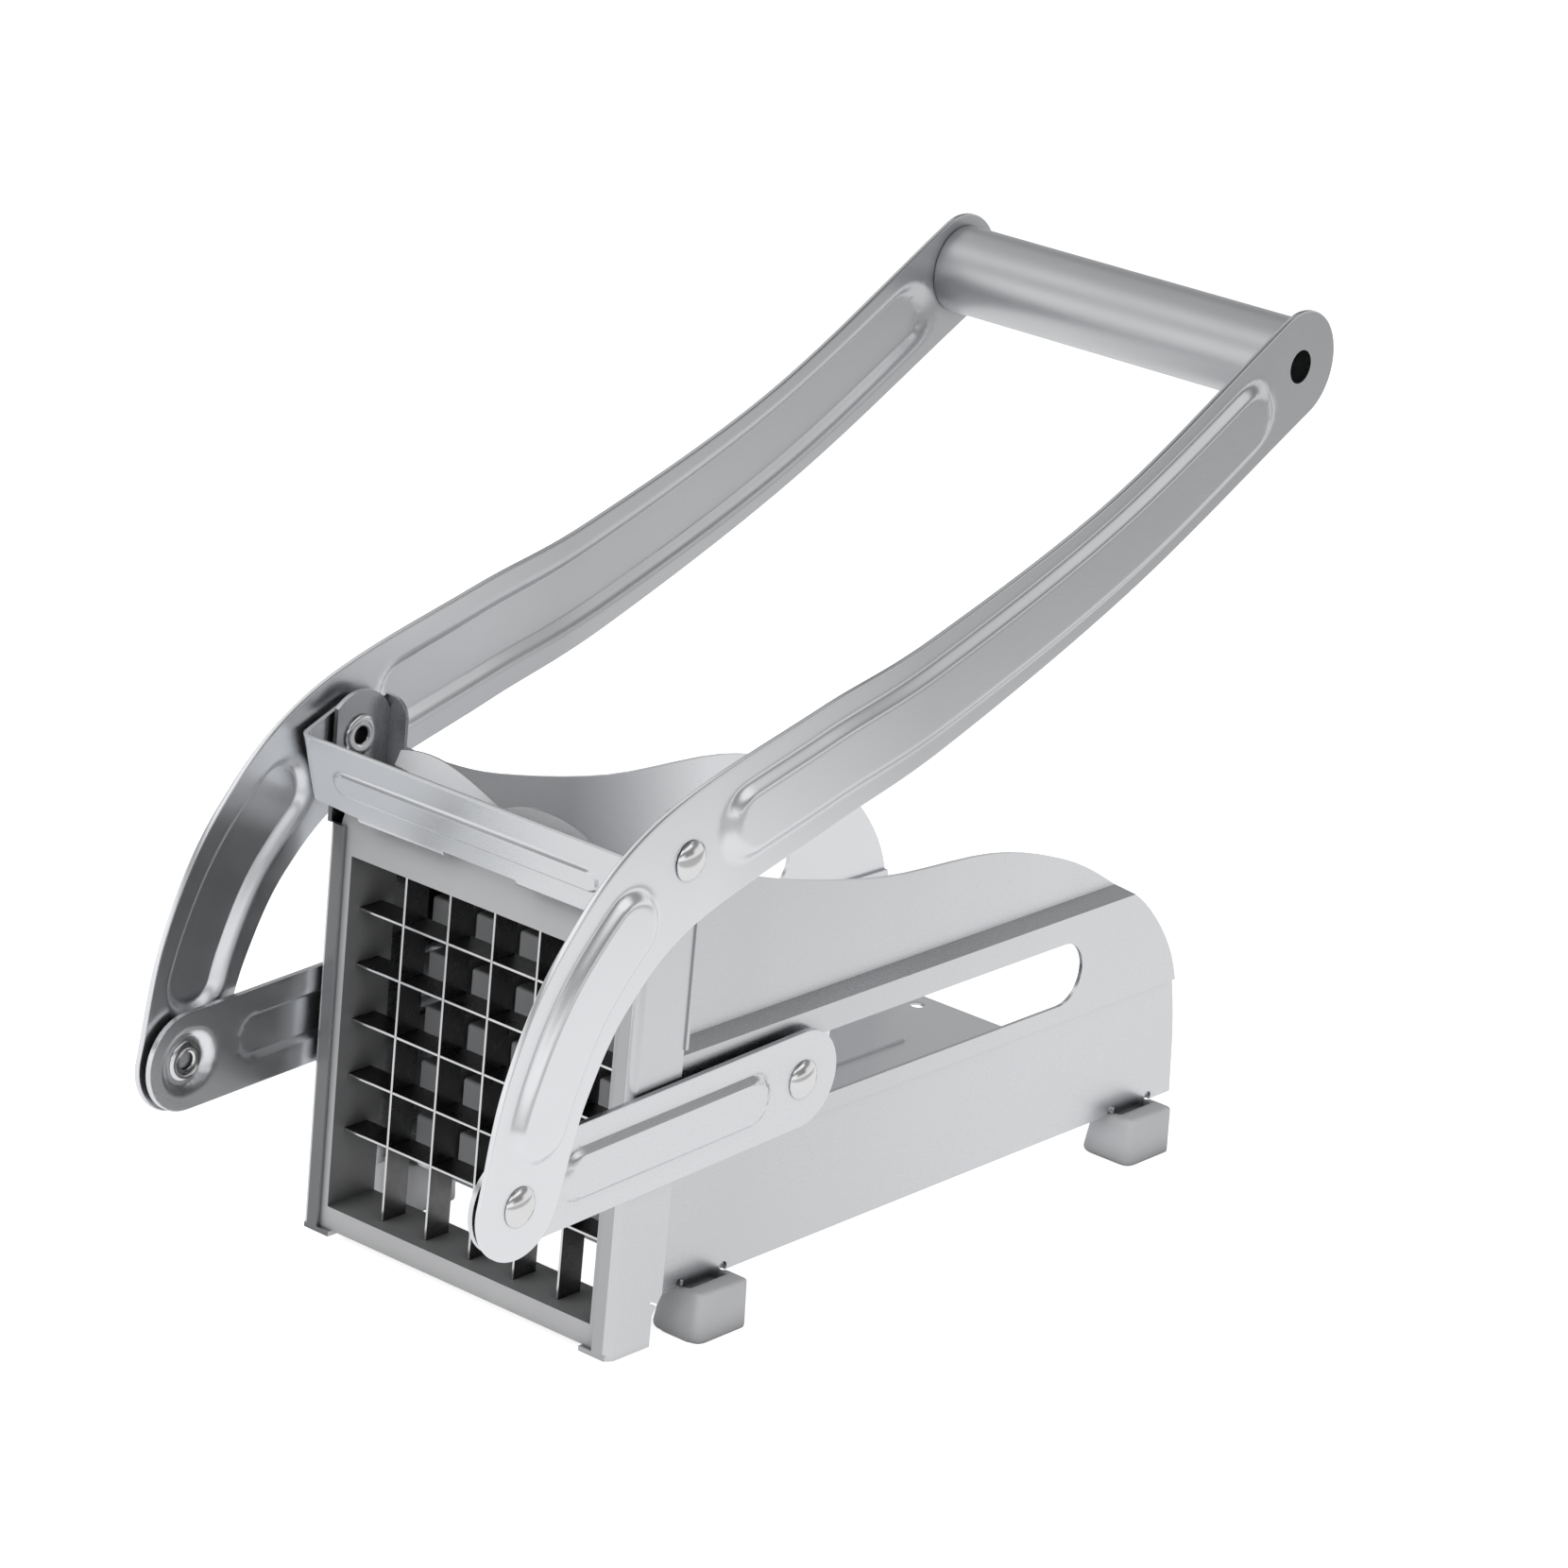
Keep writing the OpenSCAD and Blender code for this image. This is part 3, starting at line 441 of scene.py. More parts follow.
def normals(line: np.ndarray) -> np.ndarray:
    """Unit normals on the left of a line of points."""
    run = np.vstack([line[1] - line[0], line[2:] - line[:-2], line[-1] - line[-2]])
    turned_run = np.stack([-run[:, 1], run[:, 0]], 1)
    return turned_run / np.linalg.norm(turned_run, axis=1)[:, None]


def distance_to(line: np.ndarray, points: np.ndarray) -> np.ndarray:
    """The distance of each point from a line of points.

    Args:
        line: the line's points.
        points: the points to measure.

    Returns:
        One distance for each point.
    """
    best = np.full(len(points), np.inf)
    if len(line) == 1:
        return np.linalg.norm(points - line[0], axis=1)
    for a, b in zip(line[:-1], line[1:]):
        run = b - a
        share = np.clip(((points - a) @ run) / (run @ run), 0, 1)
        best = np.minimum(best, np.linalg.norm(points - (a + share[:, None] * run), axis=1))
    return best


def soft_step(value: np.ndarray) -> np.ndarray:
    """Rises smoothly from 0 to 1 as value goes from 0 to 1."""
    v = np.clip(value, 0, 1)
    return v * v * (3 - 2 * v)


@contextmanager
def edited(mesh: Mesh) -> Iterator[bmesh.types.BMesh]:
    """Opens a mesh to be edited, and writes it back."""
    work = bmesh.new()
    work.from_mesh(mesh)
    yield work
    work.to_mesh(mesh)
    work.free()


def merge(mesh: Mesh) -> None:
    """Merges a mesh's doubled points."""
    with edited(mesh) as work:
        bmesh.ops.remove_doubles(work, verts=work.verts, dist=NEAR)
        bmesh.ops.dissolve_degenerate(work, edges=work.edges, dist=NEAR)


def plain_mesh(name: str, verts: Sequence[Triple], faces: Sequence[tuple]) -> Mesh:
    """A mesh of points and faces, with its doubled points merged.

    Args:
        name: the mesh's name.
        verts: the points, in metres.
        faces: the points of each face, by number.

    Returns:
        The mesh.
    """
    mesh = bpy.data.meshes.new(name)
    mesh.from_pydata(verts, [], faces)
    merge(mesh)
    return mesh


def ring_faces(rings: int, count: int) -> list[tuple[int, ...]]:
    """Quads between closed rings of points, from the number of rings and the points of each."""
    sides = [(k, (k + 1) % count) for k in range(count)]
    starts = range(0, (rings - 1) * count, count)
    return [(s + k, s + n, s + count + n, s + count + k) for s in starts for k, n in sides]


@dataclass
class Bead:
    """A pressed form round a line: a flat top that falls off over its wall."""

    line: np.ndarray
    half: float
    rise: float
    wall: float

    def height(self, points: np.ndarray) -> np.ndarray:
        """The form's height at each of the places on the sheet, all in millimetres."""
        return self.rise * soft_step((self.half - distance_to(self.line, points)) / self.wall)


@dataclass
class Strip:
    """A sheet cut round a line with round ends, and formed by beads."""

    line: np.ndarray
    halves: np.ndarray
    sheet: float
    beads: list[Bead]
    rings: int
    cap_steps: int = 26
    cut_edge: float = 0.25

    def outline(self) -> tuple[np.ndarray, np.ndarray]:
        """The strip's edge and, for each of its points, the nearest point of the middle line."""
        across = normals(self.line)
        upper = self.line + across * self.halves[:, None]
        lower = self.line - across * self.halves[:, None]
        edge, middle = list(upper), list(self.line)
        self._cap(edge, middle, self.line[-1], across[-1], self.halves[-1])
        edge += list(lower[::-1])
        middle += list(self.line[::-1])
        self._cap(edge, middle, self.line[0], -across[0], self.halves[0])
        return np.array(edge), np.array(middle)

    def _cap(self, edge: list, middle: list, centre: np.ndarray, across: np.ndarray, half: float) -> None:
        """Adds the points of a round end."""
        ahead = np.array([across[1], -across[0]])
        for k in range(1, self.cap_steps):
            turn = math.pi * k / self.cap_steps
            edge.append(centre + half * (across * math.cos(turn) + ahead * math.sin(turn)))
            middle.append(centre)

    def mesh(self, name: str, face_x: float, side: Side) -> Mesh:
        """The formed sheet as a mesh, with its outer face at face_x.

        Args:
            name: the mesh's name.
            face_x: distance of the flat outer face from the mid-plane, in millimetres.
            side: the side that the sheet is on.

        Returns:
            The open sheet, to be thickened inwards.
        """
        edge, middle = self.outline()
        shares = np.linspace(0, 1, self.rings + 1)
        flat = np.vstack([edge * (1 - s) + middle * s for s in shares])
        height = sum(bead.height(flat) for bead in self.beads)
        sign = side.value
        verts = [(sign * (face_x + h) * MM, y * MM, z * MM) for h, (y, z) in zip(height, flat)]
        faces = [quad[::-sign] for quad in ring_faces(len(shares), len(edge))]
        return plain_mesh(name, verts, faces)


def new_object(name: str, data: bpy.types.ID) -> Thing:
    """Puts a mesh, a camera or a lamp in the scene as an object at the origin."""
    thing = bpy.data.objects.new(name, data)
    bpy.context.scene.collection.objects.link(thing)
    return thing


def modify(thing: Thing, name: str, kind: str, **values: object) -> bpy.types.Modifier:
    """Adds a modifier with the given properties to an object."""
    return filled(thing.modifiers.new(name, kind), **values)


def apply_modifiers(thing: Thing) -> None:
    """Turns an object's modifiers into plain mesh."""
    bpy.context.view_layer.update()
    graph = bpy.context.evaluated_depsgraph_get()
    mesh = bpy.data.meshes.new_from_object(thing.evaluated_get(graph))
    old = thing.data
    thing.modifiers.clear()
    thing.data = mesh
    bpy.data.meshes.remove(old)
    mesh.name = thing.name


def soften_edges(thing: Thing, radius: float, segments: int, angle: float) -> None:
    """Rounds the edges sharper than an angle in degrees to a radius in millimetres, and applies it."""
    modify(thing, "soft_edges", "BEVEL", width=radius * MM, segments=segments, limit_method="ANGLE",
           angle_limit=math.radians(angle))
    apply_modifiers(thing)


def smooth_faces(mesh: Mesh) -> None:
    """Shades every face of a mesh smooth."""
    mesh.polygons.foreach_set("use_smooth", [True] * len(mesh.polygons))


def shade(thing: Thing, angle: float = 35) -> None:
    """Shades smooth up to an angle between faces, with the wide faces kept level.

    Args:
        thing: the object.
        angle: the sharpest smooth edge, in degrees.
    """
    smooth_faces(thing.data)
    with edited(thing.data) as work:
        for edge in work.edges:
            edge.smooth = len(edge.link_faces) == 2 and edge.calc_face_angle(0) < math.radians(angle)
    modify(thing, "flat_faces", "WEIGHTED_NORMAL", keep_sharp=True)
    apply_modifiers(thing)


def thicken(thing: Thing, sheet: float, edge: float, segments: int = 2, angle: float = 60) -> None:
    """Gives an open sheet its thickness inwards, and rounds its cut edge, both in millimetres."""
    modify(thing, "thickness", "SOLIDIFY", thickness=sheet * MM, offset=-1, use_even_offset=True)
    soften_edges(thing, edge, segments, angle)


def paint_facing_shading(thing: Thing, finish: Finish, way: Triple, least: float) -> None:
    """Paints light and shade by facing: gives the faces that look one way a copy of the material in another tone.

    Args:
        thing: the piece, with its first finish already on it.
        finish: the copy in another tone.
        way: the direction that the faces look to.
        least: the least share of the faces' normals along it.
    """
    thing.data.materials.append(finish)
    slot = len(thing.data.materials) - 1
    for face in thing.data.polygons:
        if face.normal.dot(Vector(way)) > least:
            face.material_index = slot


def paint_inner_shading(thing: Thing, side: Side, finish: Finish, least: float = 0.35) -> None:
    """Paints light and shade on the faces that look to the mid-plane, with a copy of the material in another tone."""
    paint_facing_shading(thing, finish, (-side.value, 0, 0), least)


def block(name: str, size: Triple, bevel: float, segments: int = 3) -> Thing:
    """A moulded block with rounded edges, round the origin.

    Args:
        name: its name.
        size: its sizes in millimetres.
        bevel: the radius of its edges in millimetres.
        segments: steps of the rounding.

    Returns:
        The block.
    """
    mesh = bpy.data.meshes.new(name)
    with edited(mesh) as work:
        bmesh.ops.create_cube(work, size=1)
        bmesh.ops.scale(work, vec=Vector(size) * MM, verts=work.verts)
        bmesh.ops.bevel(work, geom=work.edges[:], offset=bevel * MM, segments=segments, profile=0.5, affect="EDGES")
    return new_object(name, mesh)


def turned(name: str, profile: Sequence[Point], steps: int = 48) -> Thing:
    """A piece turned round the Y axis from a profile of [along Y, radius] points.

    Args:
        name: its name.
        profile: the profile in millimetres, from axis to axis.
        steps: steps round the axis.

    Returns:
        The piece.
    """
    turns = [math.tau * k / steps for k in range(steps)]
    verts = [(radius * math.cos(turn) * MM, along * MM, radius * math.sin(turn) * MM)
             for along, radius in profile for turn in turns]
    mesh = plain_mesh(name, verts, ring_faces(len(profile), steps))
    with edited(mesh) as work:
        bmesh.ops.recalc_face_normals(work, faces=work.faces)
    return new_object(name, mesh)


def move(thing: Thing, *way: float) -> None:
    """Moves an object's mesh by millimetres along X, Y and Z."""
    thing.data.transform(Matrix.Translation([part * MM for part in way]))


def absorb(thing: Thing, other: Thing) -> None:
    """Adds another object's mesh to an object, and removes the other."""
    with edited(thing.data) as work:
        work.from_mesh(other.data)
    bpy.data.meshes.remove(other.data)


class Pattern:
    """A Geometry Nodes tree that repeats a piece on an upright grid."""

    INPUTS = (("Columns", "NodeSocketInt"), ("Rows", "NodeSocketInt"), ("Pitch X", "NodeSocketFloat"),
              ("Pitch Z", "NodeSocketFloat"), ("Centre", "NodeSocketVector"))
    WAYS = (("Columns", "Pitch X", "Size X", "Vertices X"), ("Rows", "Pitch Z", "Size Y", "Vertices Y"))

    def __init__(self, name: str, finish: Finish) -> None:
        """Writes the tree.

        Args:
            name: the tree's name.
            finish: the finish of every copy.
        """
        group = bpy.data.node_groups.new(name, "GeometryNodeTree")
        group.is_modifier = True
        face = group.interface
        face.new_socket("Geometry", in_out="INPUT", socket_type="NodeSocketGeometry")
        self.keys = {}
        for word, kind in self.INPUTS:
            self.keys[word] = face.new_socket(word, in_out="INPUT", socket_type=kind).identifier
        face.new_socket("Geometry", in_out="OUTPUT", socket_type="NodeSocketGeometry")
        write = Wiring(group)
        given = write.add("NodeGroupInput").outputs
        sizes = {}
        for count, pitch, size, number in self.WAYS:
            sizes[size] = write.sum("MULTIPLY", write.sum("SUBTRACT", given[count], 1), given[pitch])
            sizes[number] = given[count]
        flow = write.add("GeometryNodeMeshGrid", sizes).outputs["Mesh"]
        for kind, name, values in (
            ("GeometryNodeTransform", "Geometry", {"Translation": given["Centre"], "Rotation": (math.pi / 2, 0, 0)}),
            ("GeometryNodeInstanceOnPoints", "Points", {"Instance": given["Geometry"]}),
            ("GeometryNodeRealizeInstances", "Geometry", {}),
            ("GeometryNodeSetMaterial", "Geometry", {"Material": finish}),
        ):
            flow = write.add(kind, {name: flow, **values}).outputs[0]
        write.add("NodeGroupOutput", {"Geometry": flow})
        self.group = group

    def spread(self, thing: Thing, count: tuple[int, int], pitch: float, centre: Sequence[float]) -> None:
        """Repeats a piece on the grid, as plain mesh.

        Args:
            thing: the piece, modelled round the origin.
            count: columns and rows.
            pitch: the distance between neighbours in millimetres.
            centre: the grid's centre in millimetres.
        """
        modifier = modify(thing, self.group.name, "NODES", node_group=self.group)
        values = {"Columns": count[0], "Rows": count[1], "Pitch X": pitch * MM, "Pitch Z": pitch * MM,
                  "Centre": [c * MM for c in centre]}
        for word, value in values.items():
            modifier[self.keys[word]] = value
        apply_modifiers(thing)


@dataclass
class Plan:
    """Places read from the frame, in millimetres of the part's own frame."""

    frame: dict

    def joint(self, name: str) -> np.ndarray:
        """The [Y, Z] place of a hinge."""
        found = next(j for j in self.frame["joints"] if j["name"] == name)
        return np.array(found["pos_m"][1:]) / MM

    def low(self, node: str) -> np.ndarray:
        """A node's lowest corner."""
        return np.array(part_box(node)[0]) / MM

    def high(self, node: str) -> np.ndarray:
        """A node's highest corner."""
        return np.array(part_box(node)[1]) / MM

    def centre(self, node: str) -> np.ndarray:
        """The [Y, Z] centre of a node's box."""
        return ((self.low(node) + self.high(node)) / 2)[1:]

    def span(self, node: str) -> list[float]:
        """The distances of a node's inner and outer faces from the mid-plane."""
        return sorted((abs(self.low(node)[0]), abs(self.high(node)[0])))


@dataclass
class Maker:
    """What every sub-assembly needs: the frame, its places and the finishes."""

    frame: dict
    plan: Plan
    finishes: Finishes

    def dress(self, thing: Thing, body: Body, slot: Slot, finish: Finish, node: str) -> Thing:
        """Gives a piece its finish and ties it to its body.

        Args:
            thing: the piece.
            body: the body that it rides on.
            slot: not used.
            finish: its material.
            node: the CAD node that it replaces.

        Returns:
            The piece.
        """
        thing.data.materials.clear()
        thing.data.materials.append(finish)
        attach(thing, body.value)
        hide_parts(node)
        LOG.info("%s: %d faces on %s", thing.name, len(thing.data.polygons), body.value)
        return thing

    def mesh_of(self, node: str) -> Mesh:
        """A copy of a CAD node's mesh, with its doubled points merged."""
        mesh = self.frame["nodes"][node].data.copy()
        mesh.materials.clear()
        merge(mesh)
        return mesh

    def copy(self, node: str, name: str, body: Body, slot: Slot, finish: Finish, bevel: float,
             segments: int = 2, angle: float = 40) -> Thing:
        """Replaces a CAD node by a copy with soft edges.

        Args:
            node: the CAD node.
            name: the copy's name.
            body: the body that it rides on.
            slot: the record's slot of its finish.
            finish: its material.
            bevel: the radius of its edges in millimetres.
            segments: steps of their rounding.
            angle: the least angle of a softened edge, in degrees.

        Returns:
            The copy.
        """
        mesh = self.mesh_of(node)
        limit = math.radians(FLAT_ANGLE)
        with edited(mesh) as work:
            flat = [e for e in work.edges if len(e.link_faces) == 2 and e.calc_face_angle(0) < limit]
            bmesh.ops.dissolve_edges(work, edges=flat, use_verts=False)
        thing = new_object(name, mesh)
        soften_edges(thing, bevel, segments, angle)
        shade(thing)
        return self.dress(thing, body, slot, finish, node)

    def formed(self, node: str, side: Side, strip: Strip, clear: float = 0) -> Thing:
        """A formed sheet in a CAD node's place.

        Args:
            node: the CAD node.
            side: the side that it is on.
            strip: the sheet.
            clear: how far outside the node it stands, in millimetres.

        Returns:
            The sheet, with its thickness.
        """
        face = self.plan.span(node)[0] + clear + strip.sheet
        thing = new_object(f"formed_{node}", strip.mesh(node, face, side))
        thicken(thing, strip.sheet, strip.cut_edge)
        return thing


@dataclass
class Lever(Maker):
    """The two bent arms and the grip tube."""

    sheet: float = 1.2
    arm_half: float = 12.9
    crank_shares: tuple[Point, ...] = ((-1, -1), (-0.86, -0.63), (-0.58, -0.3), (-0.07, -0.03))
    handle_shares: tuple[Point, ...] = ((0.208, 0.148), (0.395, 0.276), (0.699, 0.578), (1, 1))
    width_shares: tuple[float, ...] = (0.83, 0.92, 0.97, 1, 0.98, 0.93, 0.86, 0.9)
    steps: int = 36
    rings: int = 30
    bead_half: float = 8.2
    bead_wall: float = 2.9
    bead_rise: float = 1.9
    upper_bead: Point = (0.5, 0.955)
    lower_bead: Point = (0.1, 0.35)
    hang_hole: float = 3.5
    hole_depth: float = 6
    hole_steps: int = 40
    tube_edge: float = 0.3

    def middle(self) -> np.ndarray:
        """The arm's middle line."""
        hinge = self.plan.joint("lever_hinge")
        crank = self.plan.joint("link_hinge") - hinge
        handle = self.plan.centre("grip_tube") - hinge
        low = [hinge - np.array(s) * crank for s in self.crank_shares]
        high = [hinge + np.array(s) * handle for s in self.handle_shares]
        return smooth(low + high, self.steps)

    def arm(self, side: Side) -> None:
        """One arm, with its two beads and its hanging hole."""
        line = self.middle()
        widths = smooth([(w, 0) for w in self.width_shares], self.steps)[:, 0] * self.arm_half
        last = len(line) - 1
        beads = [
            Bead(line[round(a * last): round(b * last) + 1], self.bead_half, self.bead_rise, self.bead_wall)
            for a, b in (self.upper_bead, self.lower_bead)
        ]
        node = f"{side.word}_lever_arm"
        thing = self.formed(node, side, Strip(line, widths, self.sheet, beads, self.rings))
        self._pierce(thing, self.plan.span(node)[0] + self.sheet, side)
        shade(thing)
        self.dress(thing, Body.LEVER, Slot.SATIN, self.finishes.lever, node)
        # The arm's inner faces get painted shade.
        paint_inner_shading(thing, side, self.finishes.arm_inner_shade)

    def _pierce(self, thing: Thing, face: float, side: Side) -> None:
        """Cuts the hanging hole at the grip's axis."""
        grip = self.plan.centre("grip_tube")
        place = Matrix.Translation((side.value * face * MM, grip[0] * MM, grip[1] * MM))
        radius = self.hang_hole * MM
        mesh = bpy.data.meshes.new("hole")
        with edited(mesh) as work:
            bmesh.ops.create_cone(work, cap_ends=True, segments=self.hole_steps, radius1=radius, radius2=radius,
                                  depth=self.hole_depth * MM, matrix=place @ Matrix.Rotation(math.pi / 2, 4, "Y"))
        tool = new_object("hole", mesh)
        modify(thing, "hole", "BOOLEAN", operation="DIFFERENCE", solver="EXACT", object=tool)
        apply_modifiers(thing)
        bpy.data.objects.remove(tool)

    def build(self) -> None:
        """Makes the lever's pieces."""
        for side in Side:
            self.arm(side)
        self.copy("grip_tube", "grip_tube_rolled", Body.LEVER, Slot.SATIN, self.finishes.tube, self.tube_edge)


@dataclass
class Links(Maker):
    """The two links, each with a bead and a boss."""

    sheet: float = 1.1
    clear: float = 0.1
    end: float = 10
    bead_half: float = 5.6
    bead_wall: float = 1.5
    bead_rise: float = 1.3
    bead_front: float = 18.7
    bead_rear: float = 15.6
    boss_half: float = 7.0
    boss_wall: float = 1.8
    boss_rise: float = 1.05
    steps: int = 70
    rings: int = 24

    def link(self, side: Side) -> None:
        """One link."""
        crank = self.plan.joint("link_hinge")
        drive = self.plan.centre("carriage_axle")
        run = drive - crank
        ahead = run / float(np.linalg.norm(run))
        line = np.array([crank + run * t for t in np.linspace(0, 1, self.steps)])
        start, stop = crank + ahead * self.bead_front, drive - ahead * self.bead_rear
        beads = [
            Bead(np.array([start, stop]), self.bead_half, self.bead_rise, self.bead_wall),
            Bead(np.array([crank]), self.boss_half, self.boss_rise, self.boss_wall),
        ]
        node = f"{side.word}_link"
        strip = Strip(line, np.full(len(line), self.end), self.sheet, beads, self.rings)
        thing = self.formed(node, side, strip, self.clear)
        shade(thing)
        self.dress(thing, Body.LINKS, Slot.SATIN, self.finishes.link, node)
        # The link's inner faces get painted light.
        paint_inner_shading(thing, side, self.finishes.light_steel)

    def build(self) -> None:
        """Makes both links."""
        for side in Side:
            self.link(side)


@dataclass
class Shell(Maker):
    """The sheet frame: tray, panels, posts and throat web."""

    tray_edge: float = 0.15
    web_edge: float = 0.12
    panel_edge: float = 0.35
    panel_angle: float = 15
    post_edge: float = 0.4
    steps: int = 3
    floor_least: float = 0.8
    lip_least: float = 0.6
    flange_least: float = 0.95

    def sheet(self, node: str, name: str, finish: Finish, edge: float, *rounding: float) -> Thing:
        """A steel sheet of the frame."""
        return self.copy(node, name, Body.FRAME, Slot.SATIN, finish, edge, *rounding)

    def build(self) -> None:
        """Makes the frame's sheets."""
        steel = self.finishes
        tray = self.sheet("base_tray", "tray_sheet", steel.sheet, self.tray_edge)
        # The tray's upward faces get painted light.
        paint_facing_shading(tray, steel.light_steel, UP, self.floor_least)
        web = self.sheet("throat_web", "throat_sheet", steel.web, self.web_edge)
        # The web's upward faces get painted shade.
        paint_facing_shading(web, steel.lip_shade, UP, self.lip_least)
        for side in Side:
            word = side.word
            panel = self.sheet(f"{word}_side_panel", f"{word}_panel_sheet", steel.sheet, self.panel_edge,
                               self.steps, self.panel_angle)
            # The panel's inner faces get painted shade.
            paint_inner_shading(panel, side, steel.inner)
            post = self.sheet(f"{word}_front_post", f"{word}_post_sheet", steel.upright, self.post_edge, self.steps)
            # The post's inner faces get painted shade.
            paint_inner_shading(post, side, steel.ear)
            # The post's front faces get painted shade.
            paint_facing_shading(post, steel.flange_shades[side], FORWARD, self.flange_least)


@dataclass
class Latch(Maker):
    """The latch bar: one formed sheet from hinge to hinge, with a bead and two hemmed tabs."""

    sheet: float = 1.0
    cut_edge: float = 0.2
    reach: float = 12.8
    half_width: float = 42.2
    bend: float = 2.2
    bend_points: int = 9
    boss: float = 7.2
    least_rim: float = 0.02
    top: float = 6.3
    bottom: float = 8.1
    sag: float = 0.4
    sag_inset: float = 4
    sag_run: float = 8
    tilt: float = 17
    tabs: tuple[Point, ...] = ((-29.5, -7.4), (11, 29))
    tab_drop: float = 1.9
    tab_bend: float = 1.5
    tab_depth: float = 7.8
    curl_points: int = 7
    flat_points: int = 8
    taper: float = 0.03
    taper_start: float = 0.8
    taper_run: float = 0.2
    bead: Bead = field(default_factory=lambda: Bead(np.array([[-31.8, -1.65], [30.4, -1.65]]), 2.75, 0.7, 0.8))
    step: float = 0.5
    rows: int = 56
    slack: float = 0.01

    def path(self) -> np.ndarray:
        """The sheet's outer line in plan, from the left boss round to the right one."""
        arm = [(self.half_width, y) for y in self._spaced(self.boss, self.bend - self.reach)]
        corner = [(self.half_width - self.bend * (1 - math.cos(t)), self.bend * (1 - math.sin(t)) - self.reach)
                  for t in np.linspace(0, math.pi / 2, self.bend_points)[1:-1]]
        right = np.array(arm + corner)
        flat = self.half_width - self.bend
        marks = sorted({x for tab in self.tabs for x in tab} | {-flat, flat})
        plate = [x for a, b in zip(marks, marks[1:]) for x in self._spaced(a, b)[:-1]] + [flat]
        front = np.array([(x, -self.reach) for x in plate])
        return np.vstack([right * (-1, 1), front, right[::-1]])

    def _spaced(self, start: float, stop: float) -> list[float]:
        """Even places from start to stop, about a step apart."""
        return list(np.linspace(start, stop, max(2, round(abs(stop - start) / self.step) + 1)))

    def heights(self, x: float, y: float) -> Point:
        """The sheet's lower and upper edge at a place of the path."""
        if y > 0:
            rim = math.sqrt(max(self.boss**2 - y**2, self.least_rim**2))
            return -rim, rim
        if abs(x) > self.half_width - self.bend:
            share = min(-y / (self.reach - self.bend), 1)
            return -self.boss - (self.bottom - self.boss) * share, self.boss + (self.top - self.boss) * share
        inwards = (self.half_width - self.sag_inset - abs(x)) / self.sag_run
        return -self.bottom - self.sag * float(soft_step(np.array(inwards))), self.top

    def columns(self, path: np.ndarray) -> np.ndarray:
        """The formed sheet as rows of points for each place of the path, in its own frame."""
        run = np.gradient(path, axis=0)
        out = np.stack([run[:, 1], -run[:, 0]], 1)
        out /= np.linalg.norm(out, axis=1)[:, None]
        share = np.linspace(0, 1, self.rows)
        grid = []
        for (x, y), ahead in zip(path, out):
            low, high = self.heights(x, y)
            z = low + (high - low) * share
            on_plate = y < self.slack - self.reach
            lift = self.bead.height(np.stack([np.full(self.rows, x), z], 1)) if on_plate else 0 * z
            grid.append(np.stack([x + ahead[0] * lift, y + ahead[1] * lift, z], 1))
        return np.array(grid)

    def tab(self, foot: np.ndarray) -> np.ndarray:
        """A hem below the plate, curled back under it.

        Args:
            foot: the plate's lower points that carry it.

        Returns:
            Rows of points for each of them.
        """
        fall = [(0, -t) for t in (0, self.tab_drop - self.tab_bend)]
        curl = [(self.tab_bend * (1 - math.cos(t)), self.tab_bend * (1 - math.sin(t)) - self.tab_drop)
                for t in np.linspace(0, math.pi / 2, self.curl_points)[1:]]
        flat = [(y, -self.tab_drop) for y in np.linspace(self.tab_bend, self.tab_depth, self.flat_points)[1:]]
        way = np.array(fall + curl + flat)
        middle = (foot[0][0] + foot[-1][0]) / 2
        past = (way[:, 0] - self.tab_depth * self.taper_start) / (self.tab_depth * self.taper_run)
        narrow = 1 - self.taper * soft_step(past)
        return np.array([np.stack([middle + (x - middle) * narrow, y + way[:, 0], z + way[:, 1]], 1)
                         for x, y, z in foot])

    def build(self) -> None:
        """Makes the latch bar."""
        path = self.path()
        plate = self.columns(path)
        verts, faces = [], []
        self._patch(plate, verts, faces, False)
        for start, stop in self.tabs:
            picked = [k for k, (x, y) in enumerate(path)
                      if y < self.slack - self.reach and start - self.slack <= x <= stop + self.slack]
            self._patch(self.tab(plate[picked, 0]), verts, faces, True)
        hinge = self.plan.joint("latch_hinge")
        turn = math.radians(self.tilt)
        placed = [(x * MM, (hinge[0] + y * math.cos(turn) - z * math.sin(turn)) * MM,
                   (hinge[1] + y * math.sin(turn) + z * math.cos(turn)) * MM) for x, y, z in verts]
        thing = new_object("formed_latch_bar", plain_mesh("latch", placed, faces))
        thicken(thing, self.sheet, self.cut_edge)
        shade(thing)
        self.dress(thing, Body.LATCH, Slot.SATIN, self.finishes.across, "latch_bar")

    @staticmethod
    def _patch(grid: np.ndarray, verts: list, faces: list, turned_over: bool) -> None:
        """Adds a grid of points as quads."""
        start = len(verts)
        columns, rows = grid.shape[:2]
        verts += [tuple(p) for p in grid.reshape(-1, 3)]
        for i in range(columns - 1):
            for j in range(rows - 1):
                a = start + i * rows + j
                quad = (a, a + rows, a + rows + 1, a + 1)
                faces.append(quad[::-1] if turned_over else quad)


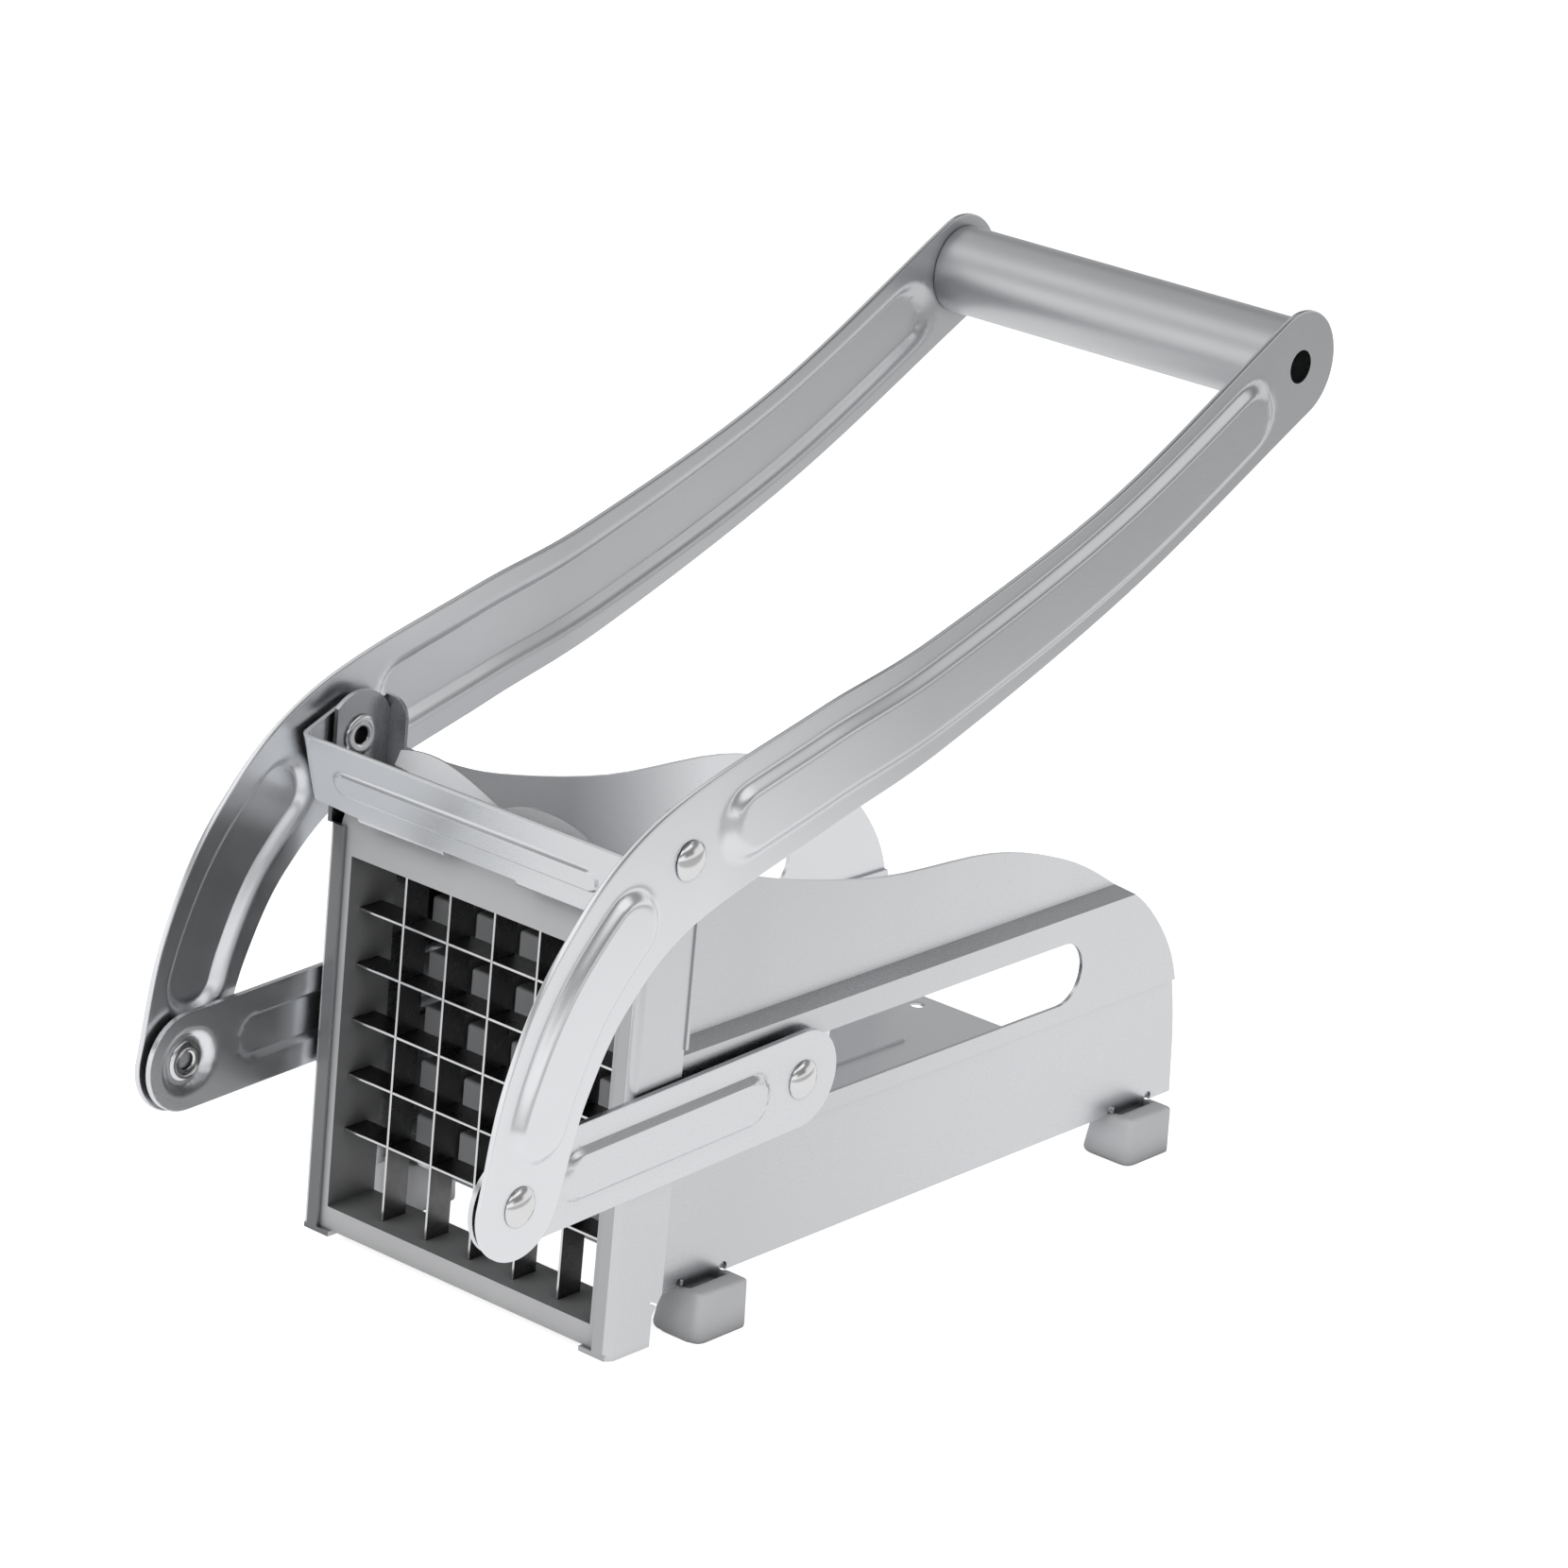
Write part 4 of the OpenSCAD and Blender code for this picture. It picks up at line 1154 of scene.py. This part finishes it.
@dataclass
class Cutter(Maker):
    """The blade holder and its blades."""

    blades: int = 5
    holder_edge: float = 0.4
    holder_steps: int = 3
    holder_least: float = 0.3
    blade_edge: float = 0.08
    blade_least: float = 0.5

    def build(self) -> None:
        """Makes the holder and the blades."""
        looks = self.finishes
        holder = self.copy("blade_holder", "holder_moulding", Body.FRAME, Slot.HOLDER, looks.holder_shade,
                           self.holder_edge, self.holder_steps)
        # The holder keeps its darker copy, painted shade, on all but its front faces.
        paint_facing_shading(holder, looks.holder, FORWARD, self.holder_least)
        for direction in ("upright", "level"):
            for number in range(1, self.blades + 1):
                node = f"{direction}_blade_{number}"
                blade = self.copy(node, f"{node}_ground", Body.FRAME, Slot.BLADE, looks.blade, self.blade_edge, 1)
                # Only the blades' front faces get the lighter edge steel; the rest keep painted shade.
                paint_facing_shading(blade, looks.edge, FORWARD, self.blade_least)


@dataclass
class Pusher(Maker):
    """The studded block and its carriage."""

    count: int = 6
    stud: float = 9.0
    base: float = 4
    root: float = 1
    edge: float = 0.7
    set_back: float = 1.6
    sheet_edge: float = 0.2
    axle_edge: float = 0.3
    moulding_angle: float = 50
    screw_head: float = 3
    screw_depth: float = 1.8
    screw_rim: float = 0.3
    screw_point: Point = (0.4, 0.8)
    screw_steps: int = 40
    screw_angle: float = 40
    dome_turn: float = 1.15
    dome_points: int = 7
    socket: float = 1.25
    socket_rim: float = 0.1
    socket_depth: float = 1.1
    socket_taper: float = 0.94

    def build(self) -> None:
        """Makes the pusher's pieces."""
        looks = self.finishes
        self.studs()
        self.screws()
        self.copy("pusher_carriage", "carriage_sheet", Body.PUSHER, Slot.SATIN, looks.light_steel, self.sheet_edge)
        self.copy("carriage_axle", "axle_bar", Body.PUSHER, Slot.POLISHED, looks.polished, self.axle_edge)
        for side in Side:
            self.copy(f"{side.word}_guide_bush", f"{side.word}_bush", Body.PUSHER, Slot.BUSH, looks.pusher,
                      self.sheet_edge)

    def studs(self) -> None:
        """The moulded block: a base plate and a square stud for each cell."""
        low, high = self.plan.low("pusher_block"), self.plan.high("pusher_block")
        pitch = self.plan.high("upright_blade_2")[0] - self.plan.high("upright_blade_1")[0]
        centre = (low + high) / 2
        middle = self.plan.centre("level_blade_3")[1]
        front, back = low[1] + self.set_back, high[1]
        length = back - front - self.base + self.root
        stud = block("stud", (self.stud, length, self.stud), self.edge)
        Pattern("stud_grid", self.finishes.pusher).spread(
            stud, (self.count, self.count), pitch, (0, front + length / 2, middle))
        plate = block("stud_base", (high[0] - low[0], self.base, high[2] - low[2]), self.edge)
        move(plate, 0, back - self.base / 2, centre[2])
        absorb(stud, plate)
        stud.name = "pusher_moulding"
        shade(stud, self.moulding_angle)
        self.dress(stud, Body.PUSHER, Slot.PUSHER, self.finishes.pusher, "pusher_block")

    def screws(self) -> None:
        """Four round-headed screws with a socket, at the carriage's back."""
        low, high = self.plan.low("pusher_screws"), self.plan.high("pusher_screws")
        length = high[1] - low[1]
        head, depth, shaft = self.screw_head, self.screw_depth, self.screw_head / 2
        neck, (point, share) = length - depth, self.screw_point
        dome = [(neck + self.screw_rim + (depth - self.screw_rim) * math.sin(t), head * math.cos(t) ** 0.5)
                for t in np.linspace(0, self.dome_turn, self.dome_points)]
        profile = [(0, 0), (0, shaft * share), (point, shaft), (neck, shaft), (neck, head), *dome,
                   (length - self.socket_rim, self.socket),
                   (length - self.socket_depth, self.socket * self.socket_taper), (length - self.socket_depth, 0)]
        screw = turned("screw", profile, self.screw_steps)
        move(screw, 0, -length / 2, 0)
        pitch = high[0] - low[0] - 2 * head
        Pattern("screw_grid", self.finishes.polished).spread(screw, (2, 2), pitch, (low + high) / 2)
        screw.name = "socket_screws"
        shade(screw, self.screw_angle)
        self.dress(screw, Body.PUSHER, Slot.POLISHED, self.finishes.polished, "pusher_screws")


@dataclass
class Fasteners(Maker):
    """Rivets and washers."""

    head: float = 4.0
    cad_dome: float = 1.1
    dome: float = 1.8
    dome_turn: float = 1.15
    dome_points: int = 12
    dome_rim: float = 0.25
    head_rim: float = 0.1
    shaft: float = 2.5
    roll: float = 0.75
    roll_points: int = 9
    roll_rim: float = 0.3
    eyelet: float = 4.1
    hole: float = 1.7
    hole_depth: float = 4.5
    hole_wall: float = 0.8
    slack: float = 0.1
    angle: float = 50
    washer_edge: float = 0.12

    def rivet(self, node: str, side: Side, body: Body, rolled: bool) -> None:
        """A domed rivet, with its inner end rolled over like an eyelet or cut flush.

        Args:
            node: the CAD node that it replaces.
            side: the side that it is on.
            body: the body that it rides on.
            rolled: whether the inner end is rolled over.
        """
        inner, outer = self.plan.span(node)
        seat = outer - self.cad_dome
        ball, fall = self.head / math.sin(self.dome_turn), math.cos(self.dome_turn)
        lift = (self.dome - self.dome_rim) / (ball * (1 - fall))
        dome = [(seat + self.dome_rim + lift * ball * (math.cos(t) - fall), ball * math.sin(t))
                for t in np.linspace(self.dome_turn, 0, self.dome_points)]
        end = [(inner, 0), (inner, self.shaft)]
        floor = inner + min(self.hole_depth, seat - inner - self.hole_wall)
        if rolled:
            middle, half, rise = (self.eyelet + self.hole) / 2, (self.eyelet - self.hole) / 2, self.roll / 2
            curl = [(inner + rise - rise * math.cos(t), middle + half * math.sin(t))
                    for t in np.linspace(-math.pi / 2, math.pi / 2, self.roll_points)]
            end = [(floor, 0), (floor, self.hole), *curl,
                   (inner + self.roll, self.eyelet - self.roll_rim), (inner + self.roll, self.shaft)]
        rim = self.head_rim
        profile = [*end, (seat, self.shaft), (seat, self.head - rim), (seat + rim, self.head), *dome]
        thing = turned(f"{node}_bright", profile)
        y, z = self.plan.centre(node) * MM
        thing.data.transform(Matrix.Translation((0, y, z)) @ Matrix.Rotation(-side.value * math.pi / 2, 4, "Z"))
        shade(thing, self.angle)
        self.dress(thing, body, Slot.POLISHED, self.finishes.polished, node)
        # The bore of the rolled end gets painted shade.
        if rolled:
            thing.data.materials.append(self.finishes.bore_shade)
            for face in thing.data.polygons:
                spot = face.center
                within = math.hypot(spot.y - y, spot.z - z) < (self.hole + self.slack) * MM
                if within and abs(spot.x) < (floor + self.slack) * MM:
                    face.material_index = 1

    def build(self) -> None:
        """Makes the rivets and washers."""
        for side in Side:
            self.rivet(f"{side.word}_hinge_rivet", side, Body.FRAME, True)
            self.rivet(f"{side.word}_crank_rivet", side, Body.LEVER, True)
            self.rivet(f"{side.word}_link_rivet", side, Body.LINKS, False)
            node = f"{side.word}_hinge_washer"
            self.copy(node, f"{node}_bright", Body.FRAME, Slot.POLISHED, self.finishes.polished, self.washer_edge)


@dataclass
class Feet(Maker):
    """The rubber feet."""

    grain: float = 0.28
    pull: float = 0.5
    passes: int = 24

    def foot(self, node: str) -> None:
        """One foot, with the soft edges of moulded rubber, set back on the table."""
        thing = new_object(f"{node}_rubber", self.mesh_of(node))
        modify(thing, "net", "REMESH", mode="VOXEL", voxel_size=self.grain * MM)
        modify(thing, "soft", "SMOOTH", factor=self.pull, iterations=self.passes)
        apply_modifiers(thing)
        lowest = min(v.co.z for v in thing.data.vertices)
        thing.data.transform(Matrix.Translation((0, 0, -lowest)))
        smooth_faces(thing.data)
        self.dress(thing, Body.FRAME, Slot.FOOT, self.finishes.foot, node)

    def build(self) -> None:
        """Makes the four feet."""
        for end in ("front", "rear"):
            for side in Side:
                self.foot(f"{end}_{side.word}_foot")


# Stage


@dataclass(frozen=True)
class Lamp:
    """A soft rectangular lamp, in metres and watts, unseen in reflections."""

    name: str
    at: Triple
    to: Triple
    size: Point
    power: float

    def build(self) -> None:
        """Puts the lamp in the scene."""
        width, height = self.size
        thing = new_object(self.name, filled(bpy.data.lights.new(self.name, "AREA"), shape="RECTANGLE", size=width,
                                             size_y=height, energy=self.power))
        thing.location = self.at
        thing.rotation_euler = (Vector(self.to) - Vector(self.at)).to_track_quat("-Z", "Y").to_euler()
        thing.visible_glossy = False


@dataclass
class Studio:
    """Camera, floor, lamps and world."""

    eye: Triple = (0.67284, -0.83840, 0.46648)
    aim: Triple = (0.02841, -0.02472, 0.10228)
    roll: float = -5.442
    lens: float = 133.1
    sensor: float = 36
    far: float = 20
    floor_half: float = 3.0
    floor_glow: float = 0.8
    floor_bounce: float = 0.35
    floor_far: float = 0.5
    floor_fade: Point = (0.22, 0.29)
    floor_tones: Point = (0.8, 0.2)
    ambient: float = 0.3
    corner_share: float = 0.8
    corner_left: Point = (-0.5, -0.15)
    corner_back: Point = (0, 0.3)
    front_turn: Point = (-0.35, -0.1)
    rear_turn: Point = (0.4, 0.6)
    rear_bands: tuple[Point, ...] = ((0.5, 0.95), (0.64, 0.9), (0.69, 0.35), (0.85, 0.3), (0.9, 0.8), (0.95, 0.3),
                                     (1, 0.15))
    side_bands: tuple[Point, ...] = ((0.5, 0.95), (0.54, 0.95), (0.58, 0.4), (0.61, 0.3), (0.75, 0.3), (0.8, 1.1),
                                     (0.88, 1.15), (0.92, 0.3), (1, 0.15))
    front_bands: tuple[Point, ...] = ((0.5, 1.1), (0.62, 1.1), (0.68, 0.35), (0.76, 0.3), (0.8, 1.2), (0.88, 1.2),
                                      (0.92, 0.3), (1, 0.15))
    lamps: tuple[Lamp, ...] = (
        Lamp("front", (-0.35, -1.05, 1.0), (0, 0, 0.08), (2.2, 1.8), 15),
        Lamp("right", (1.2, -0.1, 0.7), (0, 0, 0.08), (1.0, 1.0), 2.5),
        Lamp("top", (0.0, 0.5, 1.4), (0, 0, 0.05), (1.6, 1.6), 4),
    )

    def camera(self) -> None:
        """Puts the camera at the photograph's viewpoint."""
        thing = new_object("camera", filled(bpy.data.cameras.new("camera"), lens=self.lens, sensor_width=self.sensor,
                                            clip_end=self.far))
        ahead = (Vector(self.aim) - Vector(self.eye)).normalized()
        turn = ahead.to_track_quat("-Z", "Y").to_matrix().to_4x4()
        spin = Matrix.Rotation(-math.radians(self.roll), 4, "Z")
        thing.matrix_world = Matrix.Translation(self.eye) @ turn @ spin
        bpy.context.scene.camera = thing

    def floor(self) -> None:
        """A wide pale floor, white to the camera and to reflections."""
        half = self.floor_half
        mesh = plain_mesh("floor", [(-half, -half, 0), (half, -half, 0), (half, half, 0), (-half, half, 0)],
                          [(0, 1, 2, 3)])
        thing = new_object("floor", mesh)
        write = NodeWriter("floor_white")
        ray = write.add("ShaderNodeLightPath").outputs
        far = write.ramp(write.axes(write.place())[0], 1, self.floor_far, *self.floor_fade)
        seen = write.sum("MULTIPLY", far, self.floor_glow)
        glossy = write.mix(ray["Is Glossy Ray"], self.floor_glow, seen, "FLOAT")
        strength = write.mix(ray["Is Diffuse Ray"], glossy, self.floor_bounce, "FLOAT")
        glow = write.add("ShaderNodeEmission", {"Strength": strength})
        colour = write.mix(ray["Is Glossy Ray"], *((tone,) * 3 for tone in self.floor_tones))
        diffuse = write.add("ShaderNodeBsdfDiffuse", {"Color": colour})
        both = write.add("ShaderNodeAddShader", {0: glow.outputs[0], 1: diffuse.outputs[0]})
        mesh.materials.append(write.cover(both.outputs[0]))

    def world(self) -> None:
        """White to the camera, a plain grey to the light, and a bright room with dark bands to reflections."""
        world = bpy.data.worlds.new("studio")
        bpy.context.scene.world = world
        world.use_nodes = True
        write = Wiring(world.node_tree)
        ray = write.add("ShaderNodeLightPath").outputs
        x, y, z = write.axes(write.add("ShaderNodeTexCoord").outputs["Generated"])
        height = write.ramp(z, 0, 1, -1, 1)
        rooms = (self.side_bands, self.rear_bands, self.front_bands)
        side, rear, front = (write.bands(height, stops) for stops in rooms)
        back = write.mix(write.ramp(y, 0, 1, *self.rear_turn), side, rear)
        room = write.mix(write.ramp(y, 1, 0, *self.front_turn), back, front)
        corner = write.sum("MULTIPLY", write.ramp(x, 1, 0, *self.corner_left), write.ramp(y, 0, 1, *self.corner_back))
        dim = write.mix(corner, (1, 1, 1), (self.corner_share,) * 3)
        shaded = write.mix(1, room, dim, way="MULTIPLY")
        seen = write.mix(ray["Is Glossy Ray"], (self.ambient,) * 3, shaded)
        clear = write.sum("MAXIMUM", ray["Is Camera Ray"], ray["Is Transmission Ray"])
        light = write.add("ShaderNodeBackground", {"Color": write.mix(clear, seen, (1, 1, 1))})
        write.add("ShaderNodeOutputWorld", {"Surface": light.outputs[0]})

    def build(self) -> None:
        """Makes the stage."""
        bpy.context.scene.view_settings.view_transform = "Standard"
        self.camera()
        self.floor()
        self.world()
        for lamp in self.lamps:
            lamp.build()


def main() -> None:
    """Builds the stage and every sub-assembly."""
    logging.basicConfig(level=logging.INFO, format="%(message)s")
    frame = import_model()
    Studio().build()
    plan = Plan(frame)
    finishes = Finishes()
    for part in (Shell, Latch, Cutter, Pusher, Lever, Links, Fasteners, Feet):
        part(frame, plan, finishes).build()


if __name__ == "__main__":
    main()
